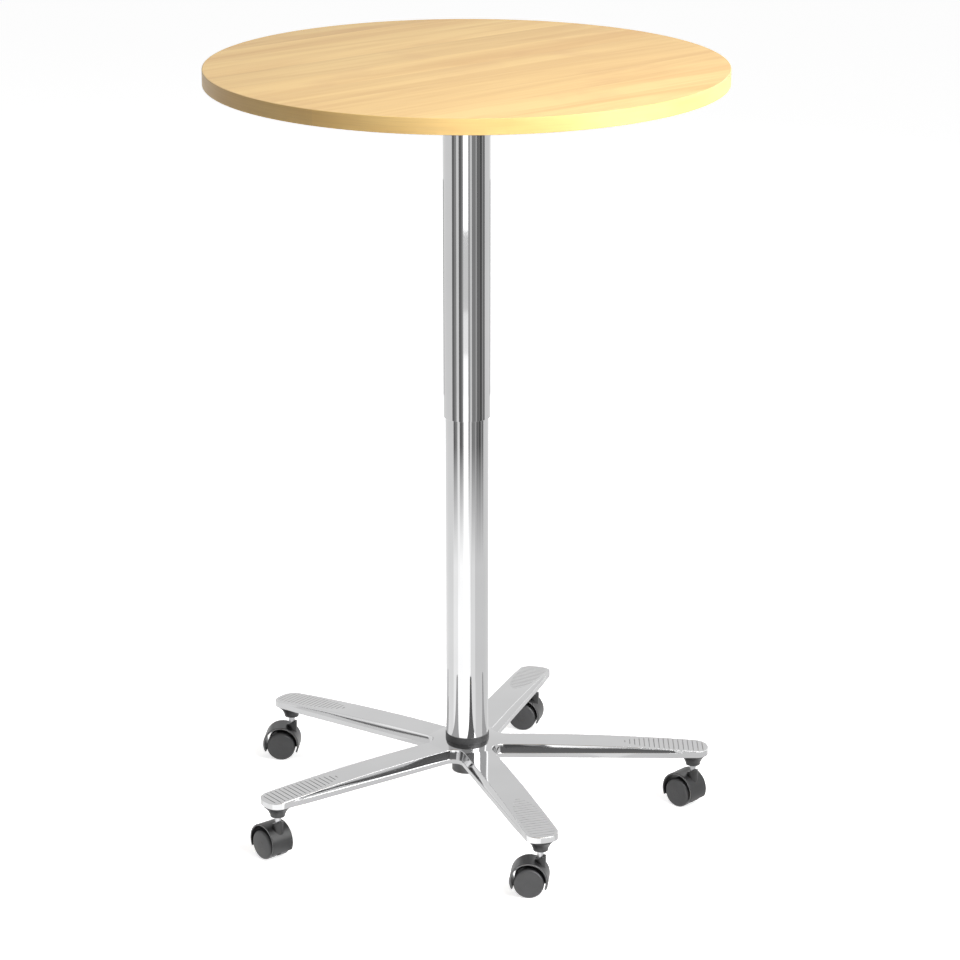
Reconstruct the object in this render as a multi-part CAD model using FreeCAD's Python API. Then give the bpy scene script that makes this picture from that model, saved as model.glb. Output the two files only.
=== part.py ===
import FreeCAD, Part
import math
import os

# A standing meeting table: a round board on a telescopic column, carried by a five-armed cast base
# on five swivelling castors.  A gas spring inside the column holds the height, and a hand lever under
# the board releases it.
#
# Millimetres.  +Z is up, the floor is z = 0 and the column's axis is x = y = 0.  The first arm of the
# base points along +X and the others follow every 72 degrees.  The board is at its highest.

os.makedirs("parts", exist_ok=True)

Vec = FreeCAD.Vector
X_AXIS = Vec(1, 0, 0)
Y_AXIS = Vec(0, 1, 0)
Z_AXIS = Vec(0, 0, 1)

# ---- driving dimensions ---------------------------------------------------------------------------

# Board
TABLE_HEIGHT = 1210.0
BOARD_RADIUS = 400.0
BOARD_THICKNESS = 24.0
BAND_THICKNESS = 2.0
BAND_ROUNDING = 1.0

# Column
TRAVEL = 400.0
UPPER_TUBE_RADIUS = 36.5
UPPER_TUBE_WALL = 1.6
UPPER_TUBE_BOTTOM = 657.0
LOWER_TUBE_RADIUS = 33.75
LOWER_TUBE_WALL = 2.5
TUBE_OVERLAP = 100.0
GUIDE_BUSH_LENGTH = 40.0
LOWER_BUSH_INSET = 1.0
STOP_GAP = 2.0
RUNNING_CLEARANCE = 0.05
SLIDING_GAP = 0.3
RAIL_HALF_WIDTH = 4.0
RAIL_GRIP_WHEN_LOW = 50.0
KEYWAY_DEPTH = 1.2
UPPER_BUSH_LIP = 3.0

# Plate under the board
PLATE_SIZE = 240.0
PLATE_THICKNESS = 6.0
PLATE_CORNER = 12.0
SCREW_RADIUS = 2.5
SCREW_HEAD_RADIUS = 5.0
SCREW_HEAD_HEIGHT = 3.5
SCREW_BITE = 14.0
SCREW_PITCH = 200.0

# Gas spring
SPRING_RADIUS = 14.0
SPRING_WALL = 1.5
SPRING_TOP = 730.0
SPRING_END = 8.0
GLAND_LENGTH = 16.0
PISTON_LENGTH = 12.0
ROD_RADIUS = 5.0
CENTRING_DISC_THICKNESS = 10.0

# Release head, pin and lever
HEAD_BACK = 18.0
HEAD_FRONT = 22.0
HEAD_HALF_WIDTH = 14.0
HEAD_HEIGHT = 24.0
ROD_SEAT_DEPTH = 10.0
HEAD_SLOT_BACK = 10.0
HEAD_SLOT_SIDE_PLAY = 0.4
HEAD_SLOT_FLOOR = 1.5
RELEASE_PIN_RADIUS = 2.0
RELEASE_PIN_LENGTH = 20.0
RELEASE_PIN_ROOM = 3.0
RELEASE_PIN_GAP = 0.1
HINGE_X = 14.0
HINGE_PIN_RADIUS = 2.0
LEVER_WIDTH = 8.0
LEVER_THICKNESS = 5.0
LEVER_TAIL = 6.0
LEVER_ABOVE_ROD = 4.0
LEVER_DROP = 20.5
LEVER_DROP_FROM = 41.0
LEVER_DROP_TO = 73.0
LEVER_BEND_MITRE = 1.5
LEVER_END = 200.0
TUBE_SLOT_SIDE_PLAY = 1.5
TUBE_SLOT_BELOW = 4.0
GRIP_START = 140.0
GRIP_END = 212.0
GRIP_RADIUS = 7.0
GRIP_ROUNDING = 2.5

# Five-armed base
ARM_COUNT = 5
ARM_ANGLE = 360.0 / ARM_COUNT
ARM_ROOT_HALF_WIDTH = 23.6
ARM_BEND_REACH = 265.0
ARM_BEND_HALF_WIDTH = 24.8
ARM_TIP_REACH = 387.0
ARM_TIP_HALF_WIDTH = 26.0
ARM_WIDEST_REACH = 350.0
TIP_CORNER_RADIUS = 19.0
TIP_END_RADIUS = 45.0
NOTCH_REACH = 54.0
BEAD_HALF_WIDTH = 27.1
BEAD_REACH = 325.0
BEAD_NOTCH_REACH = 57.4
BEAD_TOP = 101.0
HUB_TOP = 119.5
HUB_TOP_RADIUS = 38.0
ARM_ROOT_REACH = 63.0
ARM_ROOT_TOP = 116.2
ARM_MID_REACH = 214.0
ARM_MID_TOP = 113.5
ARM_TIP_TOP = 102.2
RIM_REACH = 392.0
HUB_UNDERSIDE = 95.0
ARM_UNDERSIDE = 93.0
HUB_FLOOR = 101.0

# Hollows and grooves of an arm
FLUTE_RADIUS = 7.6
FLUTE_DEPTH = 3.2
FLUTE_TIP_DEPTH = 0.7
FLUTE_TO = 335.0
FLUTE_NOTCH_STEP = 0.3
FLUTE_HUB_HEIGHT = 108.2
FLUTE_TIP_HEIGHT = 102.6
POCKET_FROM = 72.0
POCKET_TO = 334.0
POCKET_HALF_WIDTH = 16.5
POCKET_ROOF = 5.0
RIB_THICKNESS = 3.0
GROOVE_COUNT = 17
GROOVE_FIRST = 253.0
GROOVE_PITCH = 7.8
GROOVE_WIDTH = 1.4
GROOVE_DEPTH = 0.6
GROOVE_LONGEST = 20.5
GROOVE_FLARE = 2.5
GROOVE_EDGE = 5.5

# Column foot and its clamp
RING_TOP = 130.0
RING_RADIUS = 34.8
RING_CHAMFER = 0.5
PLUG_TOP = 125.0
CUP_RADIUS = 24.5
CUP_WALL = 4.0
CUP_BOTTOM = 65.0
CUP_WEB = 12.5
BOLT_RADIUS = 6.0
BOLT_HEAD_FLATS = 19.0
BOLT_HEAD_HEIGHT = 7.5
WASHER_RADIUS = 12.0
WASHER_THICKNESS = 2.5
BOLT_END = 112.0

# Castors, one under each arm's tip
CASTOR_REACH = 363.0
CASTOR_PLACES = ("right", "rear_right", "rear_left", "front_left", "front")
CASTOR_TURNS = (-42.0, -14.3, -4.4, -49.5, -5.5)
STEM_RADIUS = 5.0
STEM_BOTTOM = 51.5
STEM_TOP = 99.0
STEM_CHAMFER = 0.8
STEM_END_GAP = 0.5
SOCKET_BOTTOM = 72.8
SOCKET_TOP = 101.0
SOCKET_SLEEVE_RADIUS = 8.5
SOCKET_NECK_RADIUS = 11.7
SOCKET_NECK_CHAMFER = 1.2
SOCKET_FLARE_FROM = 75.5
SOCKET_FLARE_RADIUS = 15.9
SOCKET_FLARE_HEIGHT = 84.2
SOCKET_FLANGE_RADIUS = 21.2
SOCKET_FLANGE_HEIGHT = 89.6
TRAIL = 16.6
WHEEL_RADIUS = 23.5
WHEEL_FACE = 21.3
WHEEL_DOME = 0.8
WHEEL_INNER_FACE = 4.0
WHEEL_RIM = 4.0
WHEEL_WEB = 3.0
WHEEL_HUB_RADIUS = 7.0
WHEEL_ROUNDING = 4.0
AXLE_RADIUS = 3.0
AXLE_HALF_LENGTH = 17.6
AXLE_END_GAP = 0.3
HOOD_RADIUS = 29.8
HOOD_RISE = 3.9
HOOD_WALL = 2.8
HOOD_ROUNDING = 0.8
HOOD_HALF_WIDTH = 19.4
HOOD_ARM_ANGLE = 26.0
HOOD_WEB_HALF_WIDTH = 3.4
WEB_REACH = 9.0
WEB_NOSE_INSET = 3.0
WEB_LOW_BACK = 6.0
WEB_LOW_FRONT = 9.0
WEB_LOW_NOSE = 4.0
BOSS_RADIUS = 8.6
BOSS_BOTTOM = 41.0
BOSS_LOW_TOP = 59.0
BOSS_HIGH_TOP = 64.4

# Places that follow from the driving dimensions
BOARD_BOTTOM = TABLE_HEIGHT - BOARD_THICKNESS
PLATE_BOTTOM = BOARD_BOTTOM - PLATE_THICKNESS
UPPER_TUBE_BORE = UPPER_TUBE_RADIUS - UPPER_TUBE_WALL
LOWER_TUBE_BORE = LOWER_TUBE_RADIUS - LOWER_TUBE_WALL
LOWER_TUBE_TOP = UPPER_TUBE_BOTTOM + TUBE_OVERLAP
LOWER_BUSH_BOTTOM = UPPER_TUBE_BOTTOM + LOWER_BUSH_INSET
LOWER_BUSH_TOP = LOWER_BUSH_BOTTOM + GUIDE_BUSH_LENGTH
UPPER_BUSH_BOTTOM = LOWER_BUSH_TOP + STOP_GAP
RAIL_TOP = UPPER_BUSH_BOTTOM + TRAVEL + RAIL_GRIP_WHEN_LOW
HEAD_BOTTOM = PLATE_BOTTOM - HEAD_HEIGHT
ROD_TOP = HEAD_BOTTOM + ROD_SEAT_DEPTH
LEVER_LOW = ROD_TOP + LEVER_ABOVE_ROD
HINGE_Z = LEVER_LOW + LEVER_THICKNESS / 2
RELEASE_PIN_TOP = LEVER_LOW - RELEASE_PIN_GAP
RELEASE_PIN_BOTTOM = RELEASE_PIN_TOP - RELEASE_PIN_LENGTH
SPRING_BORE = SPRING_RADIUS - SPRING_WALL
PISTON_TOP = SPRING_TOP - GLAND_LENGTH - STOP_GAP
PISTON_BOTTOM = PISTON_TOP - PISTON_LENGTH
HOOD_CENTRE = WHEEL_RADIUS + HOOD_RISE


# ---- helpers --------------------------------------------------------------------------------------

def save(name, shape):
    """One named piece goes to one STEP file."""
    shape.exportStep("parts/%s.step" % name)


def cylinder(radius, low, high, x=0.0, y=0.0):
    return Part.makeCylinder(radius, high - low, Vec(x, y, low), Z_AXIS)


def tube(outer, inner, low, high, x=0.0, y=0.0):
    return cylinder(outer, low, high, x, y).cut(cylinder(inner, low, high, x, y))


def block(x_low, x_high, y_low, y_high, z_low, z_high):
    return Part.makeBox(x_high - x_low, y_high - y_low, z_high - z_low, Vec(x_low, y_low, z_low))


def turned(edges):
    """A solid turned about Z from a closed outline of edges in the XZ plane."""
    return Part.Face(Part.Wire(edges)).revolve(Vec(0, 0, 0), Z_AXIS, 360)


def line(a, b):
    return Part.LineSegment(a, b).toShape()


def arc(a, b, c):
    return Part.Arc(a, b, c).toShape()


def polyline(points):
    """The straight edges from each point to the next, without the closing one."""
    return [line(a, b) for a, b in zip(points, points[1:])]


def side_outline(points, thickness):
    """A closed polygon of (x, z) points, thickened evenly to both sides of y = 0."""
    corners = [Vec(x, -thickness / 2, z) for x, z in points]
    face = Part.Face(Part.makePolygon(corners + corners[:1]))
    return face.extrude(Vec(0, thickness, 0))


def fuse(shapes):
    whole = shapes[0]
    for shape in shapes[1:]:
        whole = whole.fuse(shape)
    return whole.removeSplitter()


def single(shape):
    """The one solid that a boolean result holds."""
    return shape.Solids[0]


def around(shape, degrees):
    """The same shape turned about the column's axis."""
    copy = shape.copy()
    copy.rotate(Vec(0, 0, 0), Z_AXIS, degrees)
    return copy


# ---- board ----------------------------------------------------------------------------------------

def screw_places():
    """Four corner screws and four mid-side screws of the plate."""
    half = SCREW_PITCH / 2
    return [(x, y) for x in (-half, 0, half) for y in (-half, 0, half) if x or y]


def table_panel():
    panel = cylinder(BOARD_RADIUS - BAND_THICKNESS, BOARD_BOTTOM, TABLE_HEIGHT)
    for x, y in screw_places():
        panel = panel.cut(cylinder(SCREW_RADIUS, BOARD_BOTTOM, BOARD_BOTTOM + SCREW_BITE, x, y))
    return single(panel)


def edge_band():
    disc = cylinder(BOARD_RADIUS, BOARD_BOTTOM, TABLE_HEIGHT)
    rims = [edge for edge in disc.Edges if isinstance(edge.Curve, Part.Circle)]
    disc = disc.makeFillet(BAND_ROUNDING, rims)
    return single(disc.cut(cylinder(BOARD_RADIUS - BAND_THICKNESS, BOARD_BOTTOM, TABLE_HEIGHT)))


def mounting_plate():
    half = PLATE_SIZE / 2
    plate = block(-half, half, -half, half, PLATE_BOTTOM, BOARD_BOTTOM)
    corners = [edge for edge in plate.Edges if abs(edge.tangentAt(0).z) > 0.9]
    plate = plate.makeFillet(PLATE_CORNER, corners)
    for x, y in screw_places():
        plate = plate.cut(cylinder(SCREW_RADIUS, PLATE_BOTTOM, BOARD_BOTTOM, x, y))
    return single(plate)


def panel_screws():
    screws = []
    for x, y in screw_places():
        head = cylinder(SCREW_HEAD_RADIUS, PLATE_BOTTOM - SCREW_HEAD_HEIGHT, PLATE_BOTTOM, x, y)
        shank = cylinder(SCREW_RADIUS, PLATE_BOTTOM, BOARD_BOTTOM + SCREW_BITE, x, y)
        screws.append(single(head.fuse(shank)))
    return Part.makeCompound(screws)


# ---- column ---------------------------------------------------------------------------------------

def upper_tube():
    wall = tube(UPPER_TUBE_RADIUS, UPPER_TUBE_BORE, UPPER_TUBE_BOTTOM, PLATE_BOTTOM)
    half_width = LEVER_WIDTH / 2 + TUBE_SLOT_SIDE_PLAY
    slot_bottom = LEVER_LOW - TUBE_SLOT_BELOW
    slot = block(0, 2 * UPPER_TUBE_RADIUS, -half_width, half_width, slot_bottom, PLATE_BOTTOM)
    return single(wall.cut(slot))


def guide_rail():
    """A strip inside the upper tube that keeps the board from turning."""
    strip = block(-UPPER_TUBE_RADIUS, 0, -RAIL_HALF_WIDTH, RAIL_HALF_WIDTH, UPPER_BUSH_BOTTOM, RAIL_TOP)
    shell = tube(UPPER_TUBE_BORE, LOWER_TUBE_RADIUS + SLIDING_GAP, UPPER_BUSH_BOTTOM, RAIL_TOP)
    return single(strip.common(shell))


def lower_guide_bush():
    return tube(UPPER_TUBE_BORE, LOWER_TUBE_RADIUS + RUNNING_CLEARANCE, LOWER_BUSH_BOTTOM, LOWER_BUSH_TOP)


def upper_guide_bush():
    """A sleeve with a lip over the lower tube's end, slotted for the guide rail."""
    outer = UPPER_TUBE_BORE - RUNNING_CLEARANCE
    sleeve = tube(outer, LOWER_TUBE_RADIUS, UPPER_BUSH_BOTTOM, LOWER_TUBE_TOP)
    lip_top = LOWER_TUBE_TOP + UPPER_BUSH_LIP
    lip = tube(outer, LOWER_TUBE_BORE, LOWER_TUBE_TOP, lip_top)
    half_width = RAIL_HALF_WIDTH + SLIDING_GAP
    keyway = block(-UPPER_TUBE_RADIUS, KEYWAY_DEPTH - LOWER_TUBE_RADIUS, -half_width, half_width,
                   UPPER_BUSH_BOTTOM, lip_top)
    return single(fuse([sleeve, lip]).cut(keyway))


def lower_tube():
    return tube(LOWER_TUBE_RADIUS, LOWER_TUBE_BORE, HUB_FLOOR, LOWER_TUBE_TOP)


def base_ring():
    ring = tube(RING_RADIUS, LOWER_TUBE_RADIUS, HUB_TOP, RING_TOP)
    rim = [edge for edge in ring.Edges
           if isinstance(edge.Curve, Part.Circle) and edge.Curve.Radius == RING_RADIUS
           and edge.Curve.Center.z > HUB_TOP]
    return single(ring.makeChamfer(RING_CHAMFER, rim))


# ---- gas spring and its release -------------------------------------------------------------------

def gas_cylinder():
    wall = tube(SPRING_RADIUS, SPRING_BORE, PLUG_TOP, SPRING_TOP)
    end = cylinder(SPRING_BORE, PLUG_TOP, PLUG_TOP + SPRING_END)
    stud = cylinder(ROD_RADIUS, BOLT_END + STOP_GAP, PLUG_TOP)
    return single(fuse([wall, end, stud]))


def cylinder_gland():
    return tube(SPRING_BORE, ROD_RADIUS + RUNNING_CLEARANCE, SPRING_TOP - GLAND_LENGTH, SPRING_TOP)


def piston():
    return tube(SPRING_BORE - RUNNING_CLEARANCE, ROD_RADIUS, PISTON_BOTTOM, PISTON_TOP)


def piston_rod():
    rod = cylinder(ROD_RADIUS, PISTON_BOTTOM, ROD_TOP)
    bore_bottom = RELEASE_PIN_BOTTOM - RELEASE_PIN_ROOM
    return single(rod.cut(cylinder(RELEASE_PIN_RADIUS + RUNNING_CLEARANCE, bore_bottom, ROD_TOP)))


def spring_centring_disc():
    top = UPPER_BUSH_BOTTOM
    return tube(LOWER_TUBE_BORE, SPRING_RADIUS, top - CENTRING_DISC_THICKNESS, top)


def release_head():
    """The block that holds the rod's end to the plate and carries the lever's hinge."""
    head = block(-HEAD_BACK, HEAD_FRONT, -HEAD_HALF_WIDTH, HEAD_HALF_WIDTH, HEAD_BOTTOM, PLATE_BOTTOM)
    half_width = LEVER_WIDTH / 2 + HEAD_SLOT_SIDE_PLAY
    slot_floor = ROD_TOP + HEAD_SLOT_FLOOR
    head = head.cut(cylinder(ROD_RADIUS, HEAD_BOTTOM, ROD_TOP))
    head = head.cut(cylinder(RELEASE_PIN_RADIUS + SLIDING_GAP, ROD_TOP, slot_floor))
    head = head.cut(block(-HEAD_SLOT_BACK, HEAD_FRONT, -half_width, half_width, slot_floor, PLATE_BOTTOM))
    return single(head.cut(hinge_pin()))


def hinge_pin():
    start = Vec(HINGE_X, -HEAD_HALF_WIDTH, HINGE_Z)
    return Part.makeCylinder(HINGE_PIN_RADIUS, 2 * HEAD_HALF_WIDTH, start, Y_AXIS)


def release_pin():
    return cylinder(RELEASE_PIN_RADIUS, RELEASE_PIN_BOTTOM, RELEASE_PIN_TOP)


def lever_bar():
    """A flat bar that leaves the tube level and then drops to hand height under the board."""
    high = LEVER_LOW + LEVER_THICKNESS
    upper = [(-LEVER_TAIL, high), (LEVER_DROP_FROM, high), (LEVER_DROP_TO, high - LEVER_DROP),
             (LEVER_END, high - LEVER_DROP)]
    lower = [(LEVER_END, LEVER_LOW - LEVER_DROP),
             (LEVER_DROP_TO - LEVER_BEND_MITRE, LEVER_LOW - LEVER_DROP),
             (LEVER_DROP_FROM - LEVER_BEND_MITRE, LEVER_LOW), (-LEVER_TAIL, LEVER_LOW)]
    return side_outline(upper + lower, LEVER_WIDTH)


def release_lever():
    start = Vec(HINGE_X, -LEVER_WIDTH, HINGE_Z)
    bore = Part.makeCylinder(HINGE_PIN_RADIUS + RUNNING_CLEARANCE, 2 * LEVER_WIDTH, start, Y_AXIS)
    return single(lever_bar().cut(bore))


def lever_grip():
    centre_z = HINGE_Z - LEVER_DROP
    length = GRIP_END - GRIP_START
    grip = Part.makeCylinder(GRIP_RADIUS, length, Vec(GRIP_START, 0, centre_z), X_AXIS)
    rims = [edge for edge in grip.Edges if isinstance(edge.Curve, Part.Circle)]
    grip = grip.makeFillet(GRIP_ROUNDING, rims)
    return single(grip.cut(lever_bar()))


# ---- five-armed base ------------------------------------------------------------------------------

# An arm's side is a line of (reach, half width) points, from its root to where its tip rounds off.
UPPER_SIDE = ((ARM_ROOT_REACH, ARM_ROOT_HALF_WIDTH), (ARM_BEND_REACH, ARM_BEND_HALF_WIDTH),
              (ARM_WIDEST_REACH, ARM_TIP_HALF_WIDTH))
BEAD_SIDE = ((ARM_ROOT_REACH, BEAD_HALF_WIDTH), (BEAD_REACH, BEAD_HALF_WIDTH),
             (ARM_WIDEST_REACH, ARM_TIP_HALF_WIDTH))


def root_slope(side):
    (root, root_width), (bend, bend_width) = side[:2]
    return (bend_width - root_width) / (bend - root)


def arm_half_width(reach):
    """Half the width of the arm's upper part, up to where its tip starts to round off."""
    if reach < ARM_BEND_REACH:
        return ARM_ROOT_HALF_WIDTH + root_slope(UPPER_SIDE) * (reach - ARM_ROOT_REACH)
    share = min(1.0, (reach - ARM_BEND_REACH) / (ARM_WIDEST_REACH - ARM_BEND_REACH))
    return ARM_BEND_HALF_WIDTH + share * (ARM_TIP_HALF_WIDTH - ARM_BEND_HALF_WIDTH)


def notch(side, bottom):
    """Radius of the round notch between two arms, and where it meets an arm's side."""
    half_turn = math.radians(ARM_ANGLE / 2)
    slope = root_slope(side)
    axis_half_width = side[0][1] - slope * side[0][0]
    lean = math.hypot(1.0, slope)
    share = math.sin(half_turn) - slope * math.cos(half_turn)
    radius = (bottom * share - axis_half_width) / (lean - share)
    centre = (bottom + radius) * math.cos(half_turn)
    across = (bottom + radius) * math.sin(half_turn)
    return radius, (centre + radius * slope / lean, across - radius / lean)


def tip_corner():
    """The tip's corner centre, and where the corner meets the wider end curve."""
    end_centre = ARM_TIP_REACH - TIP_END_RADIUS
    across = ARM_TIP_HALF_WIDTH - TIP_CORNER_RADIUS
    gap = TIP_END_RADIUS - TIP_CORNER_RADIUS
    along = math.sqrt(gap ** 2 - across ** 2)
    stretch = TIP_END_RADIUS / gap
    return (end_centre + along, across), (end_centre + stretch * along, stretch * across)


def base_outline(side_line, notch_reach):
    """The star seen from above: five arms with rounded tips and round notches between them."""
    (corner_x, corner_y), (meet_x, meet_y) = tip_corner()
    diagonal = TIP_CORNER_RADIUS * math.sqrt(0.5)
    notch_meets = notch(side_line, notch_reach)[1]
    edges = []
    for number in range(ARM_COUNT):
        turn = math.radians(number * ARM_ANGLE)

        def place(reach, across, turn=turn):
            return Vec(reach * math.cos(turn) - across * math.sin(turn),
                       reach * math.sin(turn) + across * math.cos(turn), ARM_UNDERSIDE - 1)

        side = [notch_meets] + list(side_line[1:]) + [(corner_x, ARM_TIP_HALF_WIDTH)]
        edges += polyline([place(reach, -across) for reach, across in side])
        edges.append(arc(place(corner_x, -ARM_TIP_HALF_WIDTH),
                         place(corner_x + diagonal, -corner_y - diagonal), place(meet_x, -meet_y)))
        edges.append(arc(place(meet_x, -meet_y), place(ARM_TIP_REACH, 0), place(meet_x, meet_y)))
        edges.append(arc(place(meet_x, meet_y), place(corner_x + diagonal, corner_y + diagonal),
                         place(corner_x, ARM_TIP_HALF_WIDTH)))
        edges += polyline([place(reach, across) for reach, across in reversed(side)])
        half_turn = math.radians(ARM_ANGLE / 2)
        bottom = place(notch_reach * math.cos(half_turn), notch_reach * math.sin(half_turn))
        next_turn = turn + math.radians(ARM_ANGLE)
        edges.append(arc(place(*notch_meets), bottom, place(notch_meets[0], -notch_meets[1], next_turn)))
    return Part.Wire(edges)


def arm_top_arc(drop=0.0):
    """The long gentle curve of an arm's upper side."""
    return arc(Vec(ARM_ROOT_REACH, 0, ARM_ROOT_TOP - drop), Vec(ARM_MID_REACH, 0, ARM_MID_TOP - drop),
               Vec(RIM_REACH, 0, ARM_TIP_TOP - drop))


def base_envelope():
    """The turned body whose faces are the base's upper side and underside."""
    edges = polyline([Vec(0, 0, HUB_UNDERSIDE), Vec(0, 0, HUB_TOP), Vec(HUB_TOP_RADIUS, 0, HUB_TOP),
                      Vec(ARM_ROOT_REACH, 0, ARM_ROOT_TOP)])
    edges.append(arm_top_arc())
    edges += polyline([Vec(RIM_REACH, 0, ARM_TIP_TOP), Vec(RIM_REACH, 0, ARM_UNDERSIDE),
                       Vec(POCKET_TO, 0, ARM_UNDERSIDE), Vec(ARM_ROOT_REACH, 0, HUB_UNDERSIDE),
                       Vec(0, 0, HUB_UNDERSIDE)])
    return turned(edges)


def flute_start():
    """Where an arm's flute leaves the notch beside the hub."""
    meet_x, meet_y = notch(UPPER_SIDE, NOTCH_REACH)[1]
    return meet_x, meet_y + FLUTE_RADIUS - FLUTE_DEPTH


def arm_flute(side):
    """The long hollow above the bead in one flank of the arm, running out near the tip."""
    start_x, start_y = flute_start()
    tip_side = arm_half_width(FLUTE_TO) + FLUTE_RADIUS - FLUTE_TIP_DEPTH
    start = Vec(start_x, side * start_y, FLUTE_HUB_HEIGHT)
    end = Vec(FLUTE_TO, side * tip_side, FLUTE_TIP_HEIGHT)
    direction = end - start
    return Part.makeCylinder(FLUTE_RADIUS, direction.Length, start, direction)


def notch_flute():
    """The same hollow, a little shallower, where it turns round the notch from arm to arm."""
    radius = notch(UPPER_SIDE, NOTCH_REACH)[0]
    middle = around(Part.Vertex(NOTCH_REACH + radius, 0, FLUTE_HUB_HEIGHT), ARM_ANGLE / 2)
    ring_radius = radius + FLUTE_DEPTH - FLUTE_RADIUS
    return Part.makeTorus(ring_radius, FLUTE_RADIUS - FLUTE_NOTCH_STEP, middle.Point, Z_AXIS)


def arm_pockets():
    """The two hollows under the arm, either side of its stiffening rib."""
    edge = [arm_top_arc(POCKET_ROOF)]
    first = edge[0].Vertexes[0].Point
    last = edge[0].Vertexes[-1].Point
    low = ARM_UNDERSIDE - 5
    edge += polyline([last, Vec(last.x, 0, low), Vec(first.x, 0, low), first])
    roof = Part.Face(Part.Wire(edge)).extrude(Vec(0, POCKET_HALF_WIDTH, 0))
    limits = block(POCKET_FROM, POCKET_TO, RIB_THICKNESS / 2, POCKET_HALF_WIDTH, low, HUB_TOP)
    one = roof.common(limits)
    other = one.mirror(Vec(0, 0, 0), Y_AXIS)
    return [one, other]


def arm_top_at(reach):
    """Height of the arm's upper side, from the circle through its three named points."""
    curve = arm_top_arc().Curve
    return curve.Center.z + math.sqrt(curve.Radius ** 2 - (reach - curve.Center.x) ** 2)


def tip_half_width(reach):
    """Half width of the arm's outline, its rounded tip included."""
    (corner_x, corner_y), (meet_x, _) = tip_corner()
    if reach <= corner_x:
        return arm_half_width(reach)
    if reach <= meet_x:
        return corner_y + math.sqrt(TIP_CORNER_RADIUS ** 2 - (reach - corner_x) ** 2)
    return math.sqrt(max(0.0, TIP_END_RADIUS ** 2 - (reach - ARM_TIP_REACH + TIP_END_RADIUS) ** 2))


def arm_grooves():
    """Short anti-slip grooves across the arm near its tip, growing to nearly the full width."""
    grooves = []
    for number in range(GROOVE_COUNT):
        reach = GROOVE_FIRST + number * GROOVE_PITCH
        grown = GROOVE_LONGEST * (1 - math.exp(-(number + 0.5) / GROOVE_FLARE))
        half = min(grown, tip_half_width(reach) - GROOVE_EDGE)
        floor = arm_top_at(reach) - GROOVE_DEPTH
        grooves.append(block(reach - GROOVE_WIDTH / 2, reach + GROOVE_WIDTH / 2, -half, half,
                             floor, floor + 3))
    return grooves


def star_base():
    """The casting: a narrower upper star on a wider one whose edge is the bead."""
    low = ARM_UNDERSIDE - 1
    upper = Part.Face(base_outline(UPPER_SIDE, NOTCH_REACH)).extrude(Vec(0, 0, HUB_TOP + 5 - low))
    bead = Part.Face(base_outline(BEAD_SIDE, BEAD_NOTCH_REACH)).extrude(Vec(0, 0, BEAD_TOP - low))
    base = single(upper.fuse(bead).common(base_envelope()))
    cuts = [cylinder(LOWER_TUBE_RADIUS, HUB_FLOOR, HUB_TOP), cylinder(BOLT_RADIUS, 0, HUB_TOP)]
    arm_cuts = [arm_flute(1), arm_flute(-1), notch_flute()] + arm_pockets() + arm_grooves()
    arm_cuts.append(cylinder(SOCKET_SLEEVE_RADIUS, 0, SOCKET_TOP, CASTOR_REACH))
    for number in range(ARM_COUNT):
        cuts += [around(shape, number * ARM_ANGLE) for shape in arm_cuts]
    return single(base.cut(cuts))


# ---- column foot ----------------------------------------------------------------------------------

def foot_plug():
    """The threaded plug welded into the lower tube's end."""
    plug = cylinder(LOWER_TUBE_BORE, HUB_FLOOR, PLUG_TOP)
    plug = plug.cut(cylinder(BOLT_RADIUS, HUB_FLOOR, BOLT_END + STOP_GAP))
    return single(plug.cut(cylinder(ROD_RADIUS, BOLT_END, PLUG_TOP)))


def clamp_cup():
    web_bottom = HUB_UNDERSIDE - CUP_WEB
    cup = cylinder(CUP_RADIUS, CUP_BOTTOM, HUB_UNDERSIDE)
    cup = cup.cut(cylinder(CUP_RADIUS - CUP_WALL, CUP_BOTTOM, web_bottom))
    cup = cup.cut(cylinder(BOLT_RADIUS, web_bottom, HUB_UNDERSIDE))
    return single(cup)


def clamp_washer():
    top = HUB_UNDERSIDE - CUP_WEB
    return tube(WASHER_RADIUS, BOLT_RADIUS, top - WASHER_THICKNESS, top)


def clamp_bolt():
    head_top = HUB_UNDERSIDE - CUP_WEB - WASHER_THICKNESS
    radius = BOLT_HEAD_FLATS / math.sqrt(3)
    corners = [Vec(radius * math.cos(math.radians(60 * i)), radius * math.sin(math.radians(60 * i)),
                   head_top - BOLT_HEAD_HEIGHT) for i in range(7)]
    head = Part.Face(Part.makePolygon(corners)).extrude(Vec(0, 0, BOLT_HEAD_HEIGHT))
    return single(head.fuse(cylinder(BOLT_RADIUS, head_top, BOLT_END)))


# ---- castors --------------------------------------------------------------------------------------
# A castor is drawn with its stem on the Z axis and its wheels trailing towards -X.

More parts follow.
